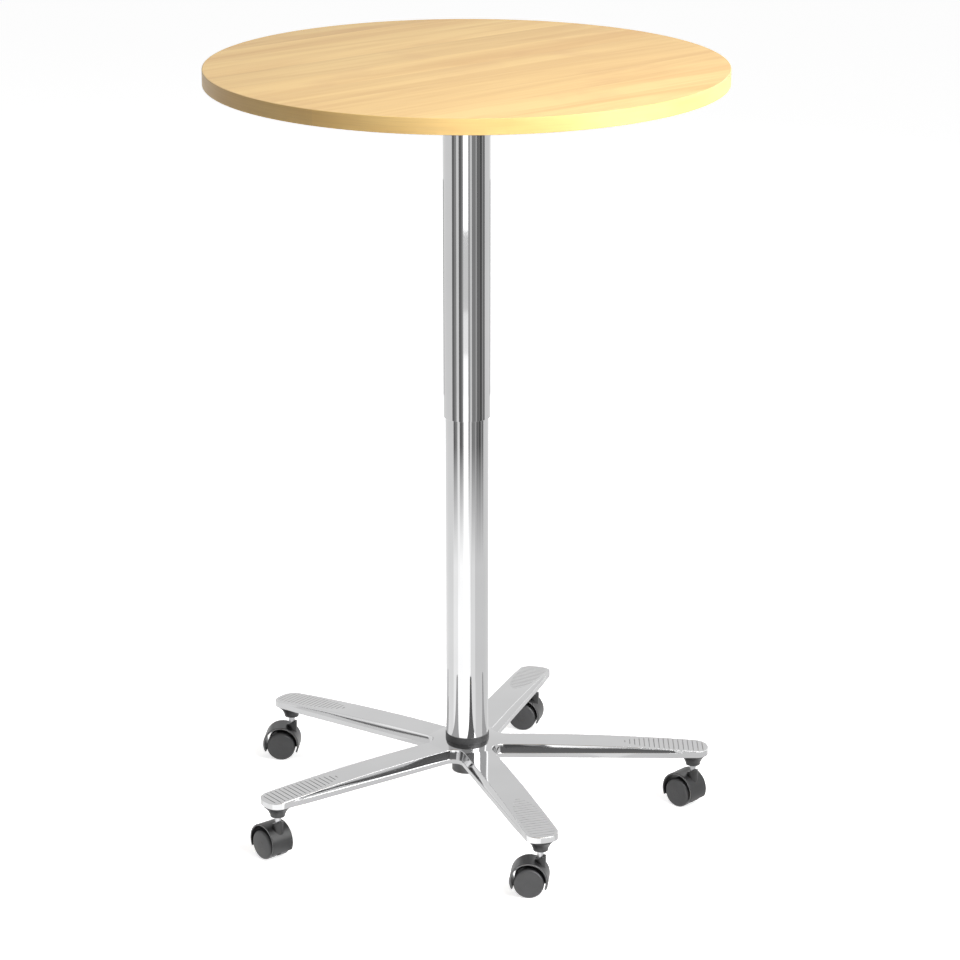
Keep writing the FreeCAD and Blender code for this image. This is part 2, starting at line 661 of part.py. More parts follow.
def castor_socket():
    """A flared sleeve pressed into the arm; the stem turns in it."""
    flange = ARM_UNDERSIDE
    flare_start = Vec(SOCKET_NECK_RADIUS, 0, SOCKET_FLARE_FROM)
    flare_end = Vec(SOCKET_FLANGE_RADIUS, 0, SOCKET_FLANGE_HEIGHT)
    edges = polyline([Vec(0, 0, SOCKET_BOTTOM),
                      Vec(SOCKET_NECK_RADIUS - SOCKET_NECK_CHAMFER, 0, SOCKET_BOTTOM),
                      Vec(SOCKET_NECK_RADIUS, 0, SOCKET_BOTTOM + SOCKET_NECK_CHAMFER), flare_start])
    edges.append(arc(flare_start, Vec(SOCKET_FLARE_RADIUS, 0, SOCKET_FLARE_HEIGHT), flare_end))
    edges += polyline([flare_end, Vec(SOCKET_FLANGE_RADIUS, 0, flange),
                       Vec(SOCKET_SLEEVE_RADIUS, 0, flange), Vec(SOCKET_SLEEVE_RADIUS, 0, SOCKET_TOP),
                       Vec(0, 0, SOCKET_TOP), Vec(0, 0, SOCKET_BOTTOM)])
    bore = cylinder(STEM_RADIUS + RUNNING_CLEARANCE, SOCKET_BOTTOM, STEM_TOP + STEM_END_GAP)
    return single(turned(edges).cut(bore))


def castor_stem():
    stem = cylinder(STEM_RADIUS, STEM_BOTTOM, STEM_TOP)
    ends = [edge for edge in stem.Edges if isinstance(edge.Curve, Part.Circle)]
    return single(stem.makeChamfer(STEM_CHAMFER, ends))


def wheel_disc(radius, half_width, height=WHEEL_RADIUS):
    """A disc over the wheels' contact line, evenly to both sides of the castor's middle."""
    start = Vec(-TRAIL, -half_width, height)
    return Part.makeCylinder(radius, 2 * half_width, start, Y_AXIS)


def hood_disc(radius, half_width):
    """A disc on the hood's own axis, a little above the wheels'."""
    return wheel_disc(radius, half_width, HOOD_CENTRE)


def hood_sector():
    """The side view of the hood's shell: all but the part below its two arms."""
    far = 3 * HOOD_RADIUS
    tip = math.radians(-HOOD_ARM_ANGLE)
    right = (-TRAIL + far * math.cos(tip), HOOD_CENTRE + far * math.sin(tip))
    left = (-TRAIL - far * math.cos(tip), HOOD_CENTRE + far * math.sin(tip))
    points = [(-TRAIL, HOOD_CENTRE), right, (far, far), (-far, far), left]
    return side_outline(points, 4 * HOOD_HALF_WIDTH)


def castor_hood():
    """The shell over both wheels, its middle web and the boss for the stem, in one moulding."""
    inner_radius = HOOD_RADIUS - HOOD_WALL
    shell = hood_disc(HOOD_RADIUS, HOOD_HALF_WIDTH)
    rims = [edge for edge in shell.Edges if isinstance(edge.Curve, Part.Circle)]
    shell = shell.makeFillet(HOOD_ROUNDING, rims)
    shell = shell.cut(hood_disc(inner_radius, HOOD_HALF_WIDTH)).common(hood_sector())
    hood = fuse([shell, hood_web(), hood_boss(inner_radius)])
    hood = hood.cut(cylinder(STEM_RADIUS, STEM_BOTTOM, BOSS_HIGH_TOP))
    return single(hood.cut(wheel_disc(AXLE_RADIUS, HOOD_HALF_WIDTH)))


def hood_web():
    """The plate between the wheels, from the axle up to the shell."""
    back = -TRAIL - WEB_REACH
    nose = HOOD_RADIUS - TRAIL - WEB_NOSE_INSET
    over = HOOD_CENTRE + HOOD_RADIUS
    points = [(back, WHEEL_RADIUS - WEB_LOW_BACK), (WEB_REACH - TRAIL, WHEEL_RADIUS - WEB_LOW_FRONT),
              (nose, WHEEL_RADIUS - WEB_LOW_NOSE), (nose, over), (back, over)]
    web = side_outline(points, 2 * HOOD_WEB_HALF_WIDTH)
    return web.common(hood_disc(HOOD_RADIUS - HOOD_WALL / 2, HOOD_HALF_WIDTH))


def hood_boss(inner_radius):
    """The collar that holds the stem, its top slanting down over the wheels."""
    boss = cylinder(BOSS_RADIUS, BOSS_BOTTOM, BOSS_HIGH_TOP)
    reach = 2 * BOSS_RADIUS
    slant = BOSS_HIGH_TOP - BOSS_LOW_TOP
    middle = (BOSS_HIGH_TOP + BOSS_LOW_TOP) / 2
    over = BOSS_HIGH_TOP + reach
    above = side_outline([(-reach, middle - slant), (reach, middle + slant), (reach, over), (-reach, over)],
                         2 * reach)
    wheel_space = hood_disc(inner_radius, HOOD_HALF_WIDTH)
    wheel_space = wheel_space.cut(hood_disc(inner_radius, HOOD_WEB_HALF_WIDTH))
    return boss.cut(above).cut(wheel_space)


def castor_axle():
    return wheel_disc(AXLE_RADIUS, AXLE_HALF_LENGTH)


def castor_wheel(side):
    """A dished wheel: closed outer face, rim, and a hub that runs on the axle."""
    face_radius = WHEEL_RADIUS - WHEEL_ROUNDING
    face_edge = WHEEL_FACE - WHEEL_DOME
    shoulder = face_edge - WHEEL_ROUNDING
    rounding = WHEEL_ROUNDING * math.sqrt(0.5)
    wall = face_edge - WHEEL_WEB
    bore = AXLE_RADIUS + RUNNING_CLEARANCE
    bore_end = AXLE_HALF_LENGTH + AXLE_END_GAP
    edges = [line(Vec(bore, 0, bore_end), Vec(0, 0, bore_end)),
             line(Vec(0, 0, bore_end), Vec(0, 0, WHEEL_FACE)),
             arc(Vec(0, 0, WHEEL_FACE), Vec(face_radius / 2, 0, WHEEL_FACE - WHEEL_DOME / 4),
                 Vec(face_radius, 0, face_edge)),
             arc(Vec(face_radius, 0, face_edge),
                 Vec(face_radius + rounding, 0, shoulder + rounding), Vec(WHEEL_RADIUS, 0, shoulder))]
    edges += polyline([Vec(WHEEL_RADIUS, 0, shoulder), Vec(WHEEL_RADIUS, 0, WHEEL_INNER_FACE),
                       Vec(WHEEL_RADIUS - WHEEL_RIM, 0, WHEEL_INNER_FACE),
                       Vec(WHEEL_RADIUS - WHEEL_RIM, 0, wall), Vec(WHEEL_HUB_RADIUS, 0, wall),
                       Vec(WHEEL_HUB_RADIUS, 0, WHEEL_INNER_FACE), Vec(bore, 0, WHEEL_INNER_FACE),
                       Vec(bore, 0, bore_end)])
    wheel = turned(edges)
    wheel.rotate(Vec(0, 0, 0), X_AXIS, -90 * side)
    wheel.translate(Vec(-TRAIL, 0, WHEEL_RADIUS))
    return wheel


def place_castor(shape, number):
    """Moves a castor's piece under the tip of its arm, turned as it stands."""
    copy = shape.copy()
    copy.rotate(Vec(0, 0, 0), Z_AXIS, CASTOR_TURNS[number])
    turn = math.radians(number * ARM_ANGLE)
    copy.translate(Vec(CASTOR_REACH * math.cos(turn), CASTOR_REACH * math.sin(turn), 0))
    return copy


# ---- all the pieces -------------------------------------------------------------------------------

SINGLE_PIECES = {
    "table_panel": table_panel,
    "edge_band": edge_band,
    "mounting_plate": mounting_plate,
    "panel_screws": panel_screws,
    "upper_tube": upper_tube,
    "guide_rail": guide_rail,
    "lower_guide_bush": lower_guide_bush,
    "upper_guide_bush": upper_guide_bush,
    "lower_tube": lower_tube,
    "base_ring": base_ring,
    "gas_cylinder": gas_cylinder,
    "cylinder_gland": cylinder_gland,
    "piston": piston,
    "piston_rod": piston_rod,
    "spring_centring_disc": spring_centring_disc,
    "release_head": release_head,
    "hinge_pin": hinge_pin,
    "release_pin": release_pin,
    "release_lever": release_lever,
    "lever_grip": lever_grip,
    "star_base": star_base,
    "foot_plug": foot_plug,
    "clamp_cup": clamp_cup,
    "clamp_washer": clamp_washer,
    "clamp_bolt": clamp_bolt,
}

for piece_name, make_piece in SINGLE_PIECES.items():
    save(piece_name, make_piece())

CASTOR_PIECES = {
    "socket": castor_socket(),
    "stem": castor_stem(),
    "hood": castor_hood(),
    "axle": castor_axle(),
    "wheel_a": castor_wheel(1),
    "wheel_b": castor_wheel(-1),
}

for castor_number, castor_place in enumerate(CASTOR_PLACES):
    for piece_name, castor_piece in CASTOR_PIECES.items():
        save("%s_%s" % (piece_name, castor_place), place_castor(castor_piece, castor_number))
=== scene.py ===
"""Finished look of a round standing table with a telescopic column on a castor base."""

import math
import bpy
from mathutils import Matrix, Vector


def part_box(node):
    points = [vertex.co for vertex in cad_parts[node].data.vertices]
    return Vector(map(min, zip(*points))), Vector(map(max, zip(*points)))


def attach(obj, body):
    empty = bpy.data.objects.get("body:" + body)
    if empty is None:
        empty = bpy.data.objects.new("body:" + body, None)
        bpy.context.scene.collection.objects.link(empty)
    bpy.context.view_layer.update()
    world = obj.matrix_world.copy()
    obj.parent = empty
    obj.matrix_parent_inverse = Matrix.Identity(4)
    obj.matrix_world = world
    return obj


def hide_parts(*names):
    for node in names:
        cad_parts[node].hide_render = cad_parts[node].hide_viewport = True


bl_info = {
    "name": "Standing Meeting Table",
    "version": (1, 0, 0),
    "blender": (4, 5, 0),
    "location": "3D View > Sidebar > Table",
    "description": "Builds the finished pieces of a round standing table and its studio",
    "category": "Add Mesh",
}

import bmesh
import bpy
from bpy.props import FloatProperty, FloatVectorProperty, IntProperty, PointerProperty
from mathutils import Matrix, Vector

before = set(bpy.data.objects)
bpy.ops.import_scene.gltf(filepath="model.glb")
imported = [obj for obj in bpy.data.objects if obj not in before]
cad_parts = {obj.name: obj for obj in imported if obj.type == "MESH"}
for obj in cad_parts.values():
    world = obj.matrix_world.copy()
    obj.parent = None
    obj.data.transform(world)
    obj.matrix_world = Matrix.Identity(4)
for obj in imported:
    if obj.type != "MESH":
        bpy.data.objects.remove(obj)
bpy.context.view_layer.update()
MM = 0.001

# Each castor's place, the bearing of its arm and its own turn about the stem, in degrees.
CASTORS = (("right", 0.0, -42.0), ("rear_right", 72.0, -14.3), ("rear_left", 144.0, -4.4),
           ("front_left", 216.0, -49.5), ("front", 288.0, -5.5))


# ---- sizes and colours a user would change -------------------------------------------

def amount(name, description, default, **more):
    return FloatProperty(name=name, description=description, default=default, **more)


def length(name, description, default):
    return amount(name, description, default, unit="LENGTH", precision=5)


def colour(name, description, default):
    return FloatVectorProperty(name=name, description=description, default=default, size=3,
                               min=0.0, max=1.0, subtype="COLOR")


class BoardSettings(bpy.types.PropertyGroup):
    radius: length("Radius", "Radius of the board with its edge band", 0.400)
    band: length("Band", "Thickness of the edge band", 0.002)
    rounding: length("Rounding", "Rounding of the edge band's corners", 0.001)
    plank: length("Plank width", "Width of one plank in the decor", 0.083)
    grain_angle: amount("Grain angle", "Direction of the grain from +X", math.radians(40.0),
                        subtype="ANGLE")
    pale: colour("Pale wood", "Light parts of the maple decor", (0.840, 0.565, 0.208))
    honey: colour("Honey wood", "Darker, warmer parts of the maple decor", (0.710, 0.420, 0.132))


class ColumnSettings(bpy.types.PropertyGroup):
    upper_radius: length("Upper tube", "Outer radius of the upper tube", 0.0365)
    lower_radius: length("Lower tube", "Outer radius of the lower tube", 0.03375)
    rim: length("Rim rounding", "Rounding of the tubes' rims", 0.0004)
    plate_metal: colour("Chrome", "Colour of the chromed tubes", (0.571, 0.571, 0.575))


class BaseSettings(bpy.types.PropertyGroup):
    edge: length("Edge rounding", "Rounding of the arms' upper edges", 0.0008)
    shoulder: length("Bead rounding", "Rounding of the upper edge of the arms' bead", 0.0003)
    bead: length("Lower rounding", "Rounding of the arms' lower edges", 0.0008)
    metal: colour("Polished casting", "Colour of the polished casting", (0.550, 0.550, 0.554))


class CastorSettings(bpy.types.PropertyGroup):
    reach: length("Reach", "Distance of the stems from the column's axis", 0.363)
    wheel: length("Wheel radius", "Radius of a wheel", 0.0235)
    trail: length("Trail", "Distance from the stem to the axle", 0.0166)
    hood: length("Hood radius", "Outer radius of a hood", 0.0298)
    rise: length("Hood rise", "Height of the hood's own axis over the axle", 0.0039)
    hood_colour: colour("Hood", "Colour of the moulded hoods", (0.0135, 0.0135, 0.014))
    wheel_colour: colour("Wheel", "Colour of the wheels", (0.048, 0.048, 0.0495))


class StageSettings(bpy.types.PropertyGroup):
    lens: amount("Lens", "Focal length in millimetres", 131.925)
    ambient: amount("Ambient", "Level of the light from all round", 0.33)
    overhead: amount("Overhead", "Power of the soft light above, in watts", 47.0)
    front: amount("Front", "Power of the lamp at the front right, in watts", 60.0)
    window: amount("Window", "Power of the soft light behind, in watts", 30.0)
    # How far out the glowing cards of painted reflection reach, in cm.
    cards: IntProperty(name="Card distance", description="Where the studio's floor ends, in cm",
                       default=600)


GROUPS = {"board": BoardSettings, "column": ColumnSettings, "base": BaseSettings,
          "castors": CastorSettings, "stage": StageSettings}


# ---- mesh helpers --------------------------------------------------------------------

def soften(corners, closed=False, steps=4):
    """Outline points with round corners, from corners given as (across, along, rounding)."""
    count = len(corners)
    points = []
    for index, (a, b, rounding) in enumerate(corners):
        here = Vector((a, b))
        if rounding <= 0 or (not closed and index in (0, count - 1)):
            points.append(here)
            continue
        before = (Vector(corners[index - 1][:2]) - here).normalized()
        after = (Vector(corners[(index + 1) % count][:2]) - here).normalized()
        half = before.angle(after) / 2
        centre = here + (before + after).normalized() * (rounding / math.sin(half))
        start = here + before * (rounding / math.tan(half)) - centre
        sweep = start.angle_signed(here + after * (rounding / math.tan(half)) - centre)
        for step in range(steps + 1):
            points.append(centre + Matrix.Rotation(-sweep * step / steps, 2) @ start)
    return [(p.x, p.y) for p in points]


def heading(angle):
    """Unit vector at an angle in the plan."""
    return Vector((math.cos(angle), math.sin(angle)))


def whole(bm):
    """All of a mesh, as the operators want it."""
    return bm.verts[:] + bm.edges[:] + bm.faces[:]


def verts_of(geom):
    """The vertices among what an operator returns."""
    return [item for item in geom if isinstance(item, bmesh.types.BMVert)]


def faces_where(bm, test):
    """The faces whose centre and upward share of the normal pass a test."""
    return [face for face in bm.faces if test(face.calc_center_median(), face.normal.z)]


def shift(bm, verts, x, y, z):
    bmesh.ops.translate(bm, verts=verts, vec=(x, y, z))


def metres(outline):
    """The same outline, given in millimetres, in metres."""
    return [(a * MM, b * MM) for a, b in outline]


def ring_section(inner, outer, low, high, lower, upper, bore=0.0, steps=4):
    """Closed outline of a ring whose lower, upper and bore corners are rounded."""
    return soften([(inner, low, bore), (outer, low, lower), (outer, high, upper),
                   (inner, high, bore)], True, steps)


def lathe(bm, outline, closed=False, steps=128):
    """Spins an outline of (radius, height) points about Z."""
    verts = [bm.verts.new((radius, 0, height)) for radius, height in outline]
    pairs = list(zip(verts, verts[1:]))
    if closed:
        pairs.append((verts[-1], verts[0]))
    edges = [bm.edges.new(pair) for pair in pairs]
    bmesh.ops.spin(bm, geom=verts + edges, axis=(0, 0, 1), cent=(0, 0, 0), steps=steps,
                   angle=math.tau, use_merge=True)
    bmesh.ops.remove_doubles(bm, verts=bm.verts, dist=1e-7)
    bmesh.ops.recalc_face_normals(bm, faces=bm.faces)


def round_edges(bm, edges, width, segments):
    bmesh.ops.bevel(bm, geom=edges, offset=width, affect="EDGES", segments=segments, profile=0.5,
                    material=-1)


def prism(bm, outline, low, high, bevel):
    """A flat outline in XY given a thickness, its edges slightly rounded."""
    verts = [bm.verts.new((x, y, low)) for x, y in outline]
    face = bm.faces.new(verts)
    made = bmesh.ops.extrude_face_region(bm, geom=[face], use_keep_orig=True)["geom"]
    top = verts_of(made)
    shift(bm, top, 0, 0, high - low)
    own = set(verts) | set(top)
    bmesh.ops.recalc_face_normals(bm, faces=bm.faces)
    edges = [e for e in bm.edges if e.verts[0] in own and e.calc_face_angle(0.0) > 0.5]
    round_edges(bm, edges, bevel, 2)


def draw_chain(bm, points):
    """Joins points by edges and returns their vertices."""
    verts = [bm.verts.new(point) for point in points]
    for pair in zip(verts, verts[1:]):
        bm.edges.new(pair)
    return verts


def pull(bm, chain, points):
    """Extrudes a chain of vertices to new places and returns the new chain."""
    edges = [bm.edges.get(pair) for pair in zip(chain, chain[1:])]
    made = bmesh.ops.extrude_edge_only(bm, edges=edges)["geom"]
    fresh = set(verts_of(made))
    moved = []
    for old, point in zip(chain, points):
        new = next(e.other_vert(old) for e in old.link_edges if e.other_vert(old) in fresh)
        new.co = point
        moved.append(new)
    return moved


def rotate_about(bm, verts, degrees, axis):
    """Turns vertices about one of the frame's axes."""
    bmesh.ops.rotate(bm, verts=verts, cent=(0, 0, 0),
                     matrix=Matrix.Rotation(math.radians(degrees), 3, axis))


def circle(a, b, c):
    """Centre and radius of the circle through three points."""
    d = 2 * (a[0] * (b[1] - c[1]) + b[0] * (c[1] - a[1]) + c[0] * (a[1] - b[1]))
    aa, bb, cc = (p[0] ** 2 + p[1] ** 2 for p in (a, b, c))
    x = (aa * (b[1] - c[1]) + bb * (c[1] - a[1]) + cc * (a[1] - b[1])) / d
    y = (aa * (c[0] - b[0]) + bb * (a[0] - c[0]) + cc * (b[0] - a[0])) / d
    return x, y, math.hypot(a[0] - x, a[1] - y)


def curve(a, b, c, steps):
    """Outline points on the arc from a through b to c, both ends included."""
    x, y, r = circle(a, b, c)
    first = math.atan2(a[1] - y, a[0] - x)
    sweep = (math.atan2(c[1] - y, c[0] - x) - first + math.pi) % math.tau - math.pi
    turns = [first + sweep * step / steps for step in range(steps + 1)]
    return [(x + r * math.cos(turn), y + r * math.sin(turn)) for turn in turns]


def finish_piece(bm, name, finish, body, node, sharp=32.0, accent=None):
    """Turns a bmesh into a piece that rides on its body and stands for its CAD node."""
    limit = math.radians(sharp)
    for face in bm.faces:
        face.smooth = True
    for edge in bm.edges:
        edge.smooth = len(edge.link_faces) == 2 and edge.calc_face_angle(0.0) < limit
    mesh = bpy.data.meshes.new(name)
    bm.to_mesh(mesh)
    bm.free()
    mesh.materials.append(MATERIALS[finish])
    if accent:
        mesh.materials.append(MATERIALS[accent])
    piece = bpy.data.objects.new(name, mesh)
    bpy.context.scene.collection.objects.link(piece)
    even = piece.modifiers.new("even_shading", "WEIGHTED_NORMAL")
    even.keep_sharp = True
    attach(piece, body)
    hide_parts(node)
    return piece


def turned_piece(name, outline, finish, body, node, steps=128, closed=True):
    """A piece of one revolved outline."""
    bm = bmesh.new()
    lathe(bm, outline, closed, steps)
    finish_piece(bm, name, finish, body, node)


# ---- materials -----------------------------------------------------------------------

class Nodes:
    """A node tree under construction."""

    def __init__(self, tree):
        self.tree = tree

    def feed(self, node, socket, value):
        if isinstance(value, bpy.types.NodeSocket):
            self.tree.links.new(value, node.inputs[socket])
        else:
            node.inputs[socket].default_value = value

    def node(self, kind, settings=None, **inputs):
        made = self.tree.nodes.new("ShaderNode" + kind)
        for key, value in (settings or {}).items():
            setattr(made, key, value)
        for socket, value in inputs.items():
            self.feed(made, socket.replace("_", " "), value)
        return made

    def maths(self, operation, a, b=0.5, c=0.5):
        made = self.node("Math", {"operation": operation})
        for index, value in enumerate((a, b, c)):
            self.feed(made, index, value)
        return made.outputs[0]

    def span(self, value, low, high, from_low=0.0, from_high=1.0):
        """Turns a range of a value, 0 to 1 unless told otherwise, into low to high."""
        made = self.node("MapRange")
        for index, number in enumerate((value, from_low, from_high, low, high)):
            self.feed(made, index, number)
        return made.outputs[0]


class Finish(Nodes):
    """A material under construction: a Principled shader and whatever feeds it."""

    def __init__(self, name, **shader):
        self.material = bpy.data.materials.new(name)
        self.material.use_nodes = True
        super().__init__(self.material.node_tree)
        self.shader = self.tree.nodes["Principled BSDF"]
        for socket, value in shader.items():
            self.feed(self.shader, socket.replace("_", " "), value)

    def place(self, scale=(1, 1, 1), turn=0.0):
        coords = self.node("TexCoord").outputs["Object"]
        made = self.node("Mapping", Vector=coords, Scale=scale, Rotation=(0, 0, turn))
        return made.outputs["Vector"]

    def stretch(self, vector, *scale):
        return self.node("Mapping", Vector=vector, Scale=scale).outputs["Vector"]

    def noise(self, vector, scale, detail=4.0, roughness=0.5, distortion=0.0):
        return self.node("TexNoise", Vector=vector, Scale=scale, Detail=detail,
                         Roughness=roughness, Distortion=distortion).outputs["Fac"]

    def blend(self, share, a, b, mode="MIX"):
        made = self.node("Mix", {"data_type": "RGBA", "blend_type": mode})
        self.feed(made, 0, share)
        for index, value in ((6, a), (7, b)):
            linked = isinstance(value, bpy.types.NodeSocket)
            self.feed(made, index, value if linked else (*value, 1.0))
        return made.outputs[2]

    def rough(self, pattern, *limits):
        self.feed(self.shader, "Roughness", self.span(pattern, *limits))

    def bump(self, height, strength, distance):
        made = self.node("Bump", Strength=strength, Distance=distance, Height=height)
        self.feed(self.shader, "Normal", made.outputs[0])

    def colour(self, pattern, low, high, tint, factor):
        """Base colour that wanders with a pattern from a tint to a darker or lighter one."""
        other = tuple(value * factor for value in tint)
        share = self.span(pattern, 0.0, 1.0, low, high)
        self.feed(self.shader, "Base Color", self.blend(share, tint, other))


BLOTCH_COLOUR = (0.62, 0.33, 0.12)
FIBRE_COLOUR = (0.45, 0.25, 0.10)
KNOT_COLOUR = (0.30, 0.13, 0.045)
SEAM_COLOUR = (0.36, 0.19, 0.075)
BAND_GRAIN_COLOUR = (0.50, 0.29, 0.12)
BAND_END_COLOUR = (0.42, 0.27, 0.15)
BAND_JOINT = math.radians(236.8 - 360.0)
BAND_SHADE = 0.92


def maple_decor(settings):
    """Light maple planks: fine fibres, broad figure, faint seams, soft blotches and small knots."""
    f = Finish("maple_decor", Specular_IOR_Level=0.4, Coat_Weight=0.10, Coat_Roughness=0.30)
    along = f.place(turn=-settings.grain_angle)
    parts = f.node("SeparateXYZ", Vector=along)
    row = f.maths("DIVIDE", parts.outputs["Y"], settings.plank)
    number = f.maths("FLOOR", row)
    chance = f.node("TexWhiteNoise", {"noise_dimensions": "1D"}, W=number)
    offset = f.node("VectorMath", {"operation": "MULTIPLY_ADD"})
    for index, value in enumerate((chance.outputs["Color"], (3.0, 0.0, 3.0), along)):
        f.feed(offset, index, value)
    plank = offset.outputs[0]
    figure = f.noise(f.stretch(plank, 1.6, 22.0, 22.0), 1.0, 5.0, 0.55, 1.1)
    fibres = f.noise(f.stretch(plank, 14.0, 620.0, 620.0), 1.0, 3.0, 0.6)
    blotch = f.noise(plank, 6.5, 3.0, 0.5, 0.4)
    base = f.blend(f.span(figure, 0.0, 1.0, 0.36, 0.68), settings.pale, settings.honey)
    tint = f.span(chance.outputs["Value"], 0.965, 1.035)
    base = f.blend(1.0, base, f.node("CombineColor", Red=tint, Green=tint, Blue=tint).outputs[0],
                   "MULTIPLY")
    warm = f.span(blotch, 0.0, 0.42, 0.56, 0.80)
    base = f.blend(warm, base, BLOTCH_COLOUR)
    base = f.blend(f.span(fibres, 0.0, 0.10, 0.50, 0.80), base, FIBRE_COLOUR)
    cells = f.node("TexVoronoi", {"feature": "F1"}, Vector=f.stretch(along, 4.2, 7.0, 1.0),
                   Scale=1.0)
    knot = f.span(cells.outputs["Distance"], 0.45, 0.0, 0.02, 0.11)
    rare = f.maths("GREATER_THAN", f.node("SeparateColor", Color=cells.outputs["Color"]).outputs[0],
                   0.62)
    base = f.blend(f.maths("MULTIPLY", knot, rare), base, KNOT_COLOUR)
    edge = f.maths("ABSOLUTE", f.maths("SUBTRACT", f.maths("FRACT", row), 0.5))
    seam = f.span(edge, 0.0, 0.20, 0.490, 0.4985)
    base = f.blend(seam, base, SEAM_COLOUR)
    f.feed(f.shader, "Base Color", base)
    f.rough(fibres, 0.40, 0.50)
    f.bump(fibres, 0.06, 0.0002)
    return f.material


def band_decor(settings):
    """The edge band's decor: its grain runs round the board, and its two ends meet at one joint."""
    f = Finish("band_decor", Specular_IOR_Level=0.35, Coat_Weight=0.05, Coat_Roughness=0.30)
    parts = f.node("SeparateXYZ", Vector=f.place())
    angle = f.maths("ARCTAN2", parts.outputs["Y"], parts.outputs["X"])
    around = f.node("CombineXYZ", X=f.maths("MULTIPLY", angle, 0.4), Y=parts.outputs["Z"])
    grain = f.noise(f.stretch(around.outputs[0], 10.0, 420.0, 1.0), 1.0, 4.0, 0.6)
    broad = f.noise(f.stretch(around.outputs[0], 5.0, 30.0, 1.0), 1.0, 2.0)
    light, dark = (tuple(value * BAND_SHADE for value in tint)
                   for tint in (settings.pale, settings.honey))
    base = f.blend(f.span(broad, 0.0, 0.5, 0.35, 0.65), light, dark)
    base = f.blend(f.span(grain, 0.0, 0.25, 0.45, 0.75), base, BAND_GRAIN_COLOUR)
    end = f.maths("LESS_THAN", angle, BAND_JOINT)
    base = f.blend(f.maths("MULTIPLY", end, 0.10), base, BAND_END_COLOUR)
    f.feed(f.shader, "Base Color", base)
    f.rough(grain, 0.36, 0.46)
    f.bump(grain, 0.05, 0.0001)
    return f.material


def polished_metal(name, tint, gloss, waviness):
    """Bright metal with faint polishing marks and a very slight waviness."""
    f = Finish(name, Metallic=1.0)
    marks = f.noise(f.place((60.0, 60.0, 240.0)), 6.0, 5.0, 0.6)
    soft = f.noise(f.place(), 9.0, 2.0)
    f.colour(soft, 0.3, 0.7, tint, 0.95)
    f.rough(marks, gloss * 0.7, gloss * 1.3, 0.3, 0.7)
    f.bump(soft, waviness, 0.0004)
    return f.material


def plain_steel(name, tint, gloss):
    """Zinc-plated or turned steel with fine machining marks."""
    f = Finish(name, Metallic=1.0)
    marks = f.noise(f.place((300.0, 300.0, 2200.0)), 1.0, 3.0, 0.6)
    stain = f.noise(f.place(), 45.0, 4.0, 0.6)
    f.colour(stain, 0.4, 0.7, tint, 0.80)
    f.rough(marks, gloss * 0.8, gloss * 1.25)
    f.bump(marks, 0.10, 0.0001)
    return f.material


def moulded_plastic(name, tint, gloss, texture):
    """Moulded plastic with a fine spark-eroded grain and slightly uneven gloss."""
    f = Finish(name, Specular_IOR_Level=0.5)
    grain = f.noise(f.place(), texture, 3.0, 0.6)
    flow = f.noise(f.place(), 30.0, 3.0)
    f.colour(flow, 0.35, 0.7, tint, 1.35)
    f.rough(flow, gloss * 0.88, gloss * 1.12, 0.3, 0.7)
    f.bump(grain, 0.12, 0.00012)
    return f.material


def powder_coat(name, tint):
    """Powder coat: a fine orange-peel surface."""
    f = Finish(name, Specular_IOR_Level=0.5)
    peel = f.noise(f.place(), 900.0, 2.0, 0.5)
    dust = f.noise(f.place(), 60.0, 4.0, 0.6)
    f.colour(dust, 0.45, 0.8, tint, 1.5)
    f.rough(dust, 0.42, 0.55)
    f.bump(peel, 0.22, 0.0002)
    return f.material


MATERIALS = {}


def prepare_materials(scene):
    board, column = scene.table_board, scene.table_column
    base, castors = scene.table_base, scene.table_castors
    MATERIALS.update(
        maple=maple_decor(board),
        band=band_decor(board),
        chrome=polished_metal("chrome_plate", column.plate_metal[:], 0.035, 0.012),
        casting=polished_metal("polished_casting", base.metal[:], 0.060, 0.030),
        steel=plain_steel("zinc_steel", (0.48, 0.48, 0.49), 0.26),
        ring=moulded_plastic("ring_plastic", (0.036, 0.036, 0.037), 0.46, 1500.0),
        socket=moulded_plastic("socket_plastic", (0.030, 0.030, 0.031), 0.38, 1400.0),
        # The grooves' own matt finish; its dark tone is painted shade in the recess.
        groove=powder_coat("groove_matt_painted_shade", (0.20, 0.20, 0.20)),
        cup=powder_coat("graphite_powder", (0.115, 0.115, 0.117)),
        hood=moulded_plastic("hood_plastic", castors.hood_colour[:], 0.36, 1300.0),
        # A lighter copy of the hood plastic for the hoods' flat sides: a painted highlight.
        hood_edge=moulded_plastic("hood_edge_plastic", (0.110, 0.110, 0.112), 0.45, 1300.0),
        wheel=moulded_plastic("wheel_plastic", castors.wheel_colour[:], 0.42, 1300.0),
        bush=moulded_plastic("bush_plastic", (0.045, 0.045, 0.047), 0.40, 1100.0),
        grip=moulded_plastic("grip_plastic", (0.022, 0.022, 0.023), 0.50, 1700.0),
        paint=powder_coat("black_powder", (0.022, 0.022, 0.023)),
    )


# ---- board ---------------------------------------------------------------------------

def build_board(scene):
    s = scene.table_board
    low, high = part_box("table_panel")
    inner = s.radius - s.band
    outline = [(0, low.z), (inner, low.z), (inner, high.z), (0, high.z)]
    turned_piece("board", outline, "maple", "top", "table_panel", 256, False)
    band = ring_section(inner, s.radius, low.z, high.z, s.rounding, s.rounding)
    turned_piece("board_edge", band, "band", "top", "edge_band", 256)


# ---- column --------------------------------------------------------------------------

UPPER_WALL = 1.6 * MM
LOWER_WALL = 2.5 * MM
LEVER_SLOT_HALF = 5.5 * MM
LEVER_SLOT_SILL = 1.166
FOOT_RING_RADIUS = 34.8 * MM


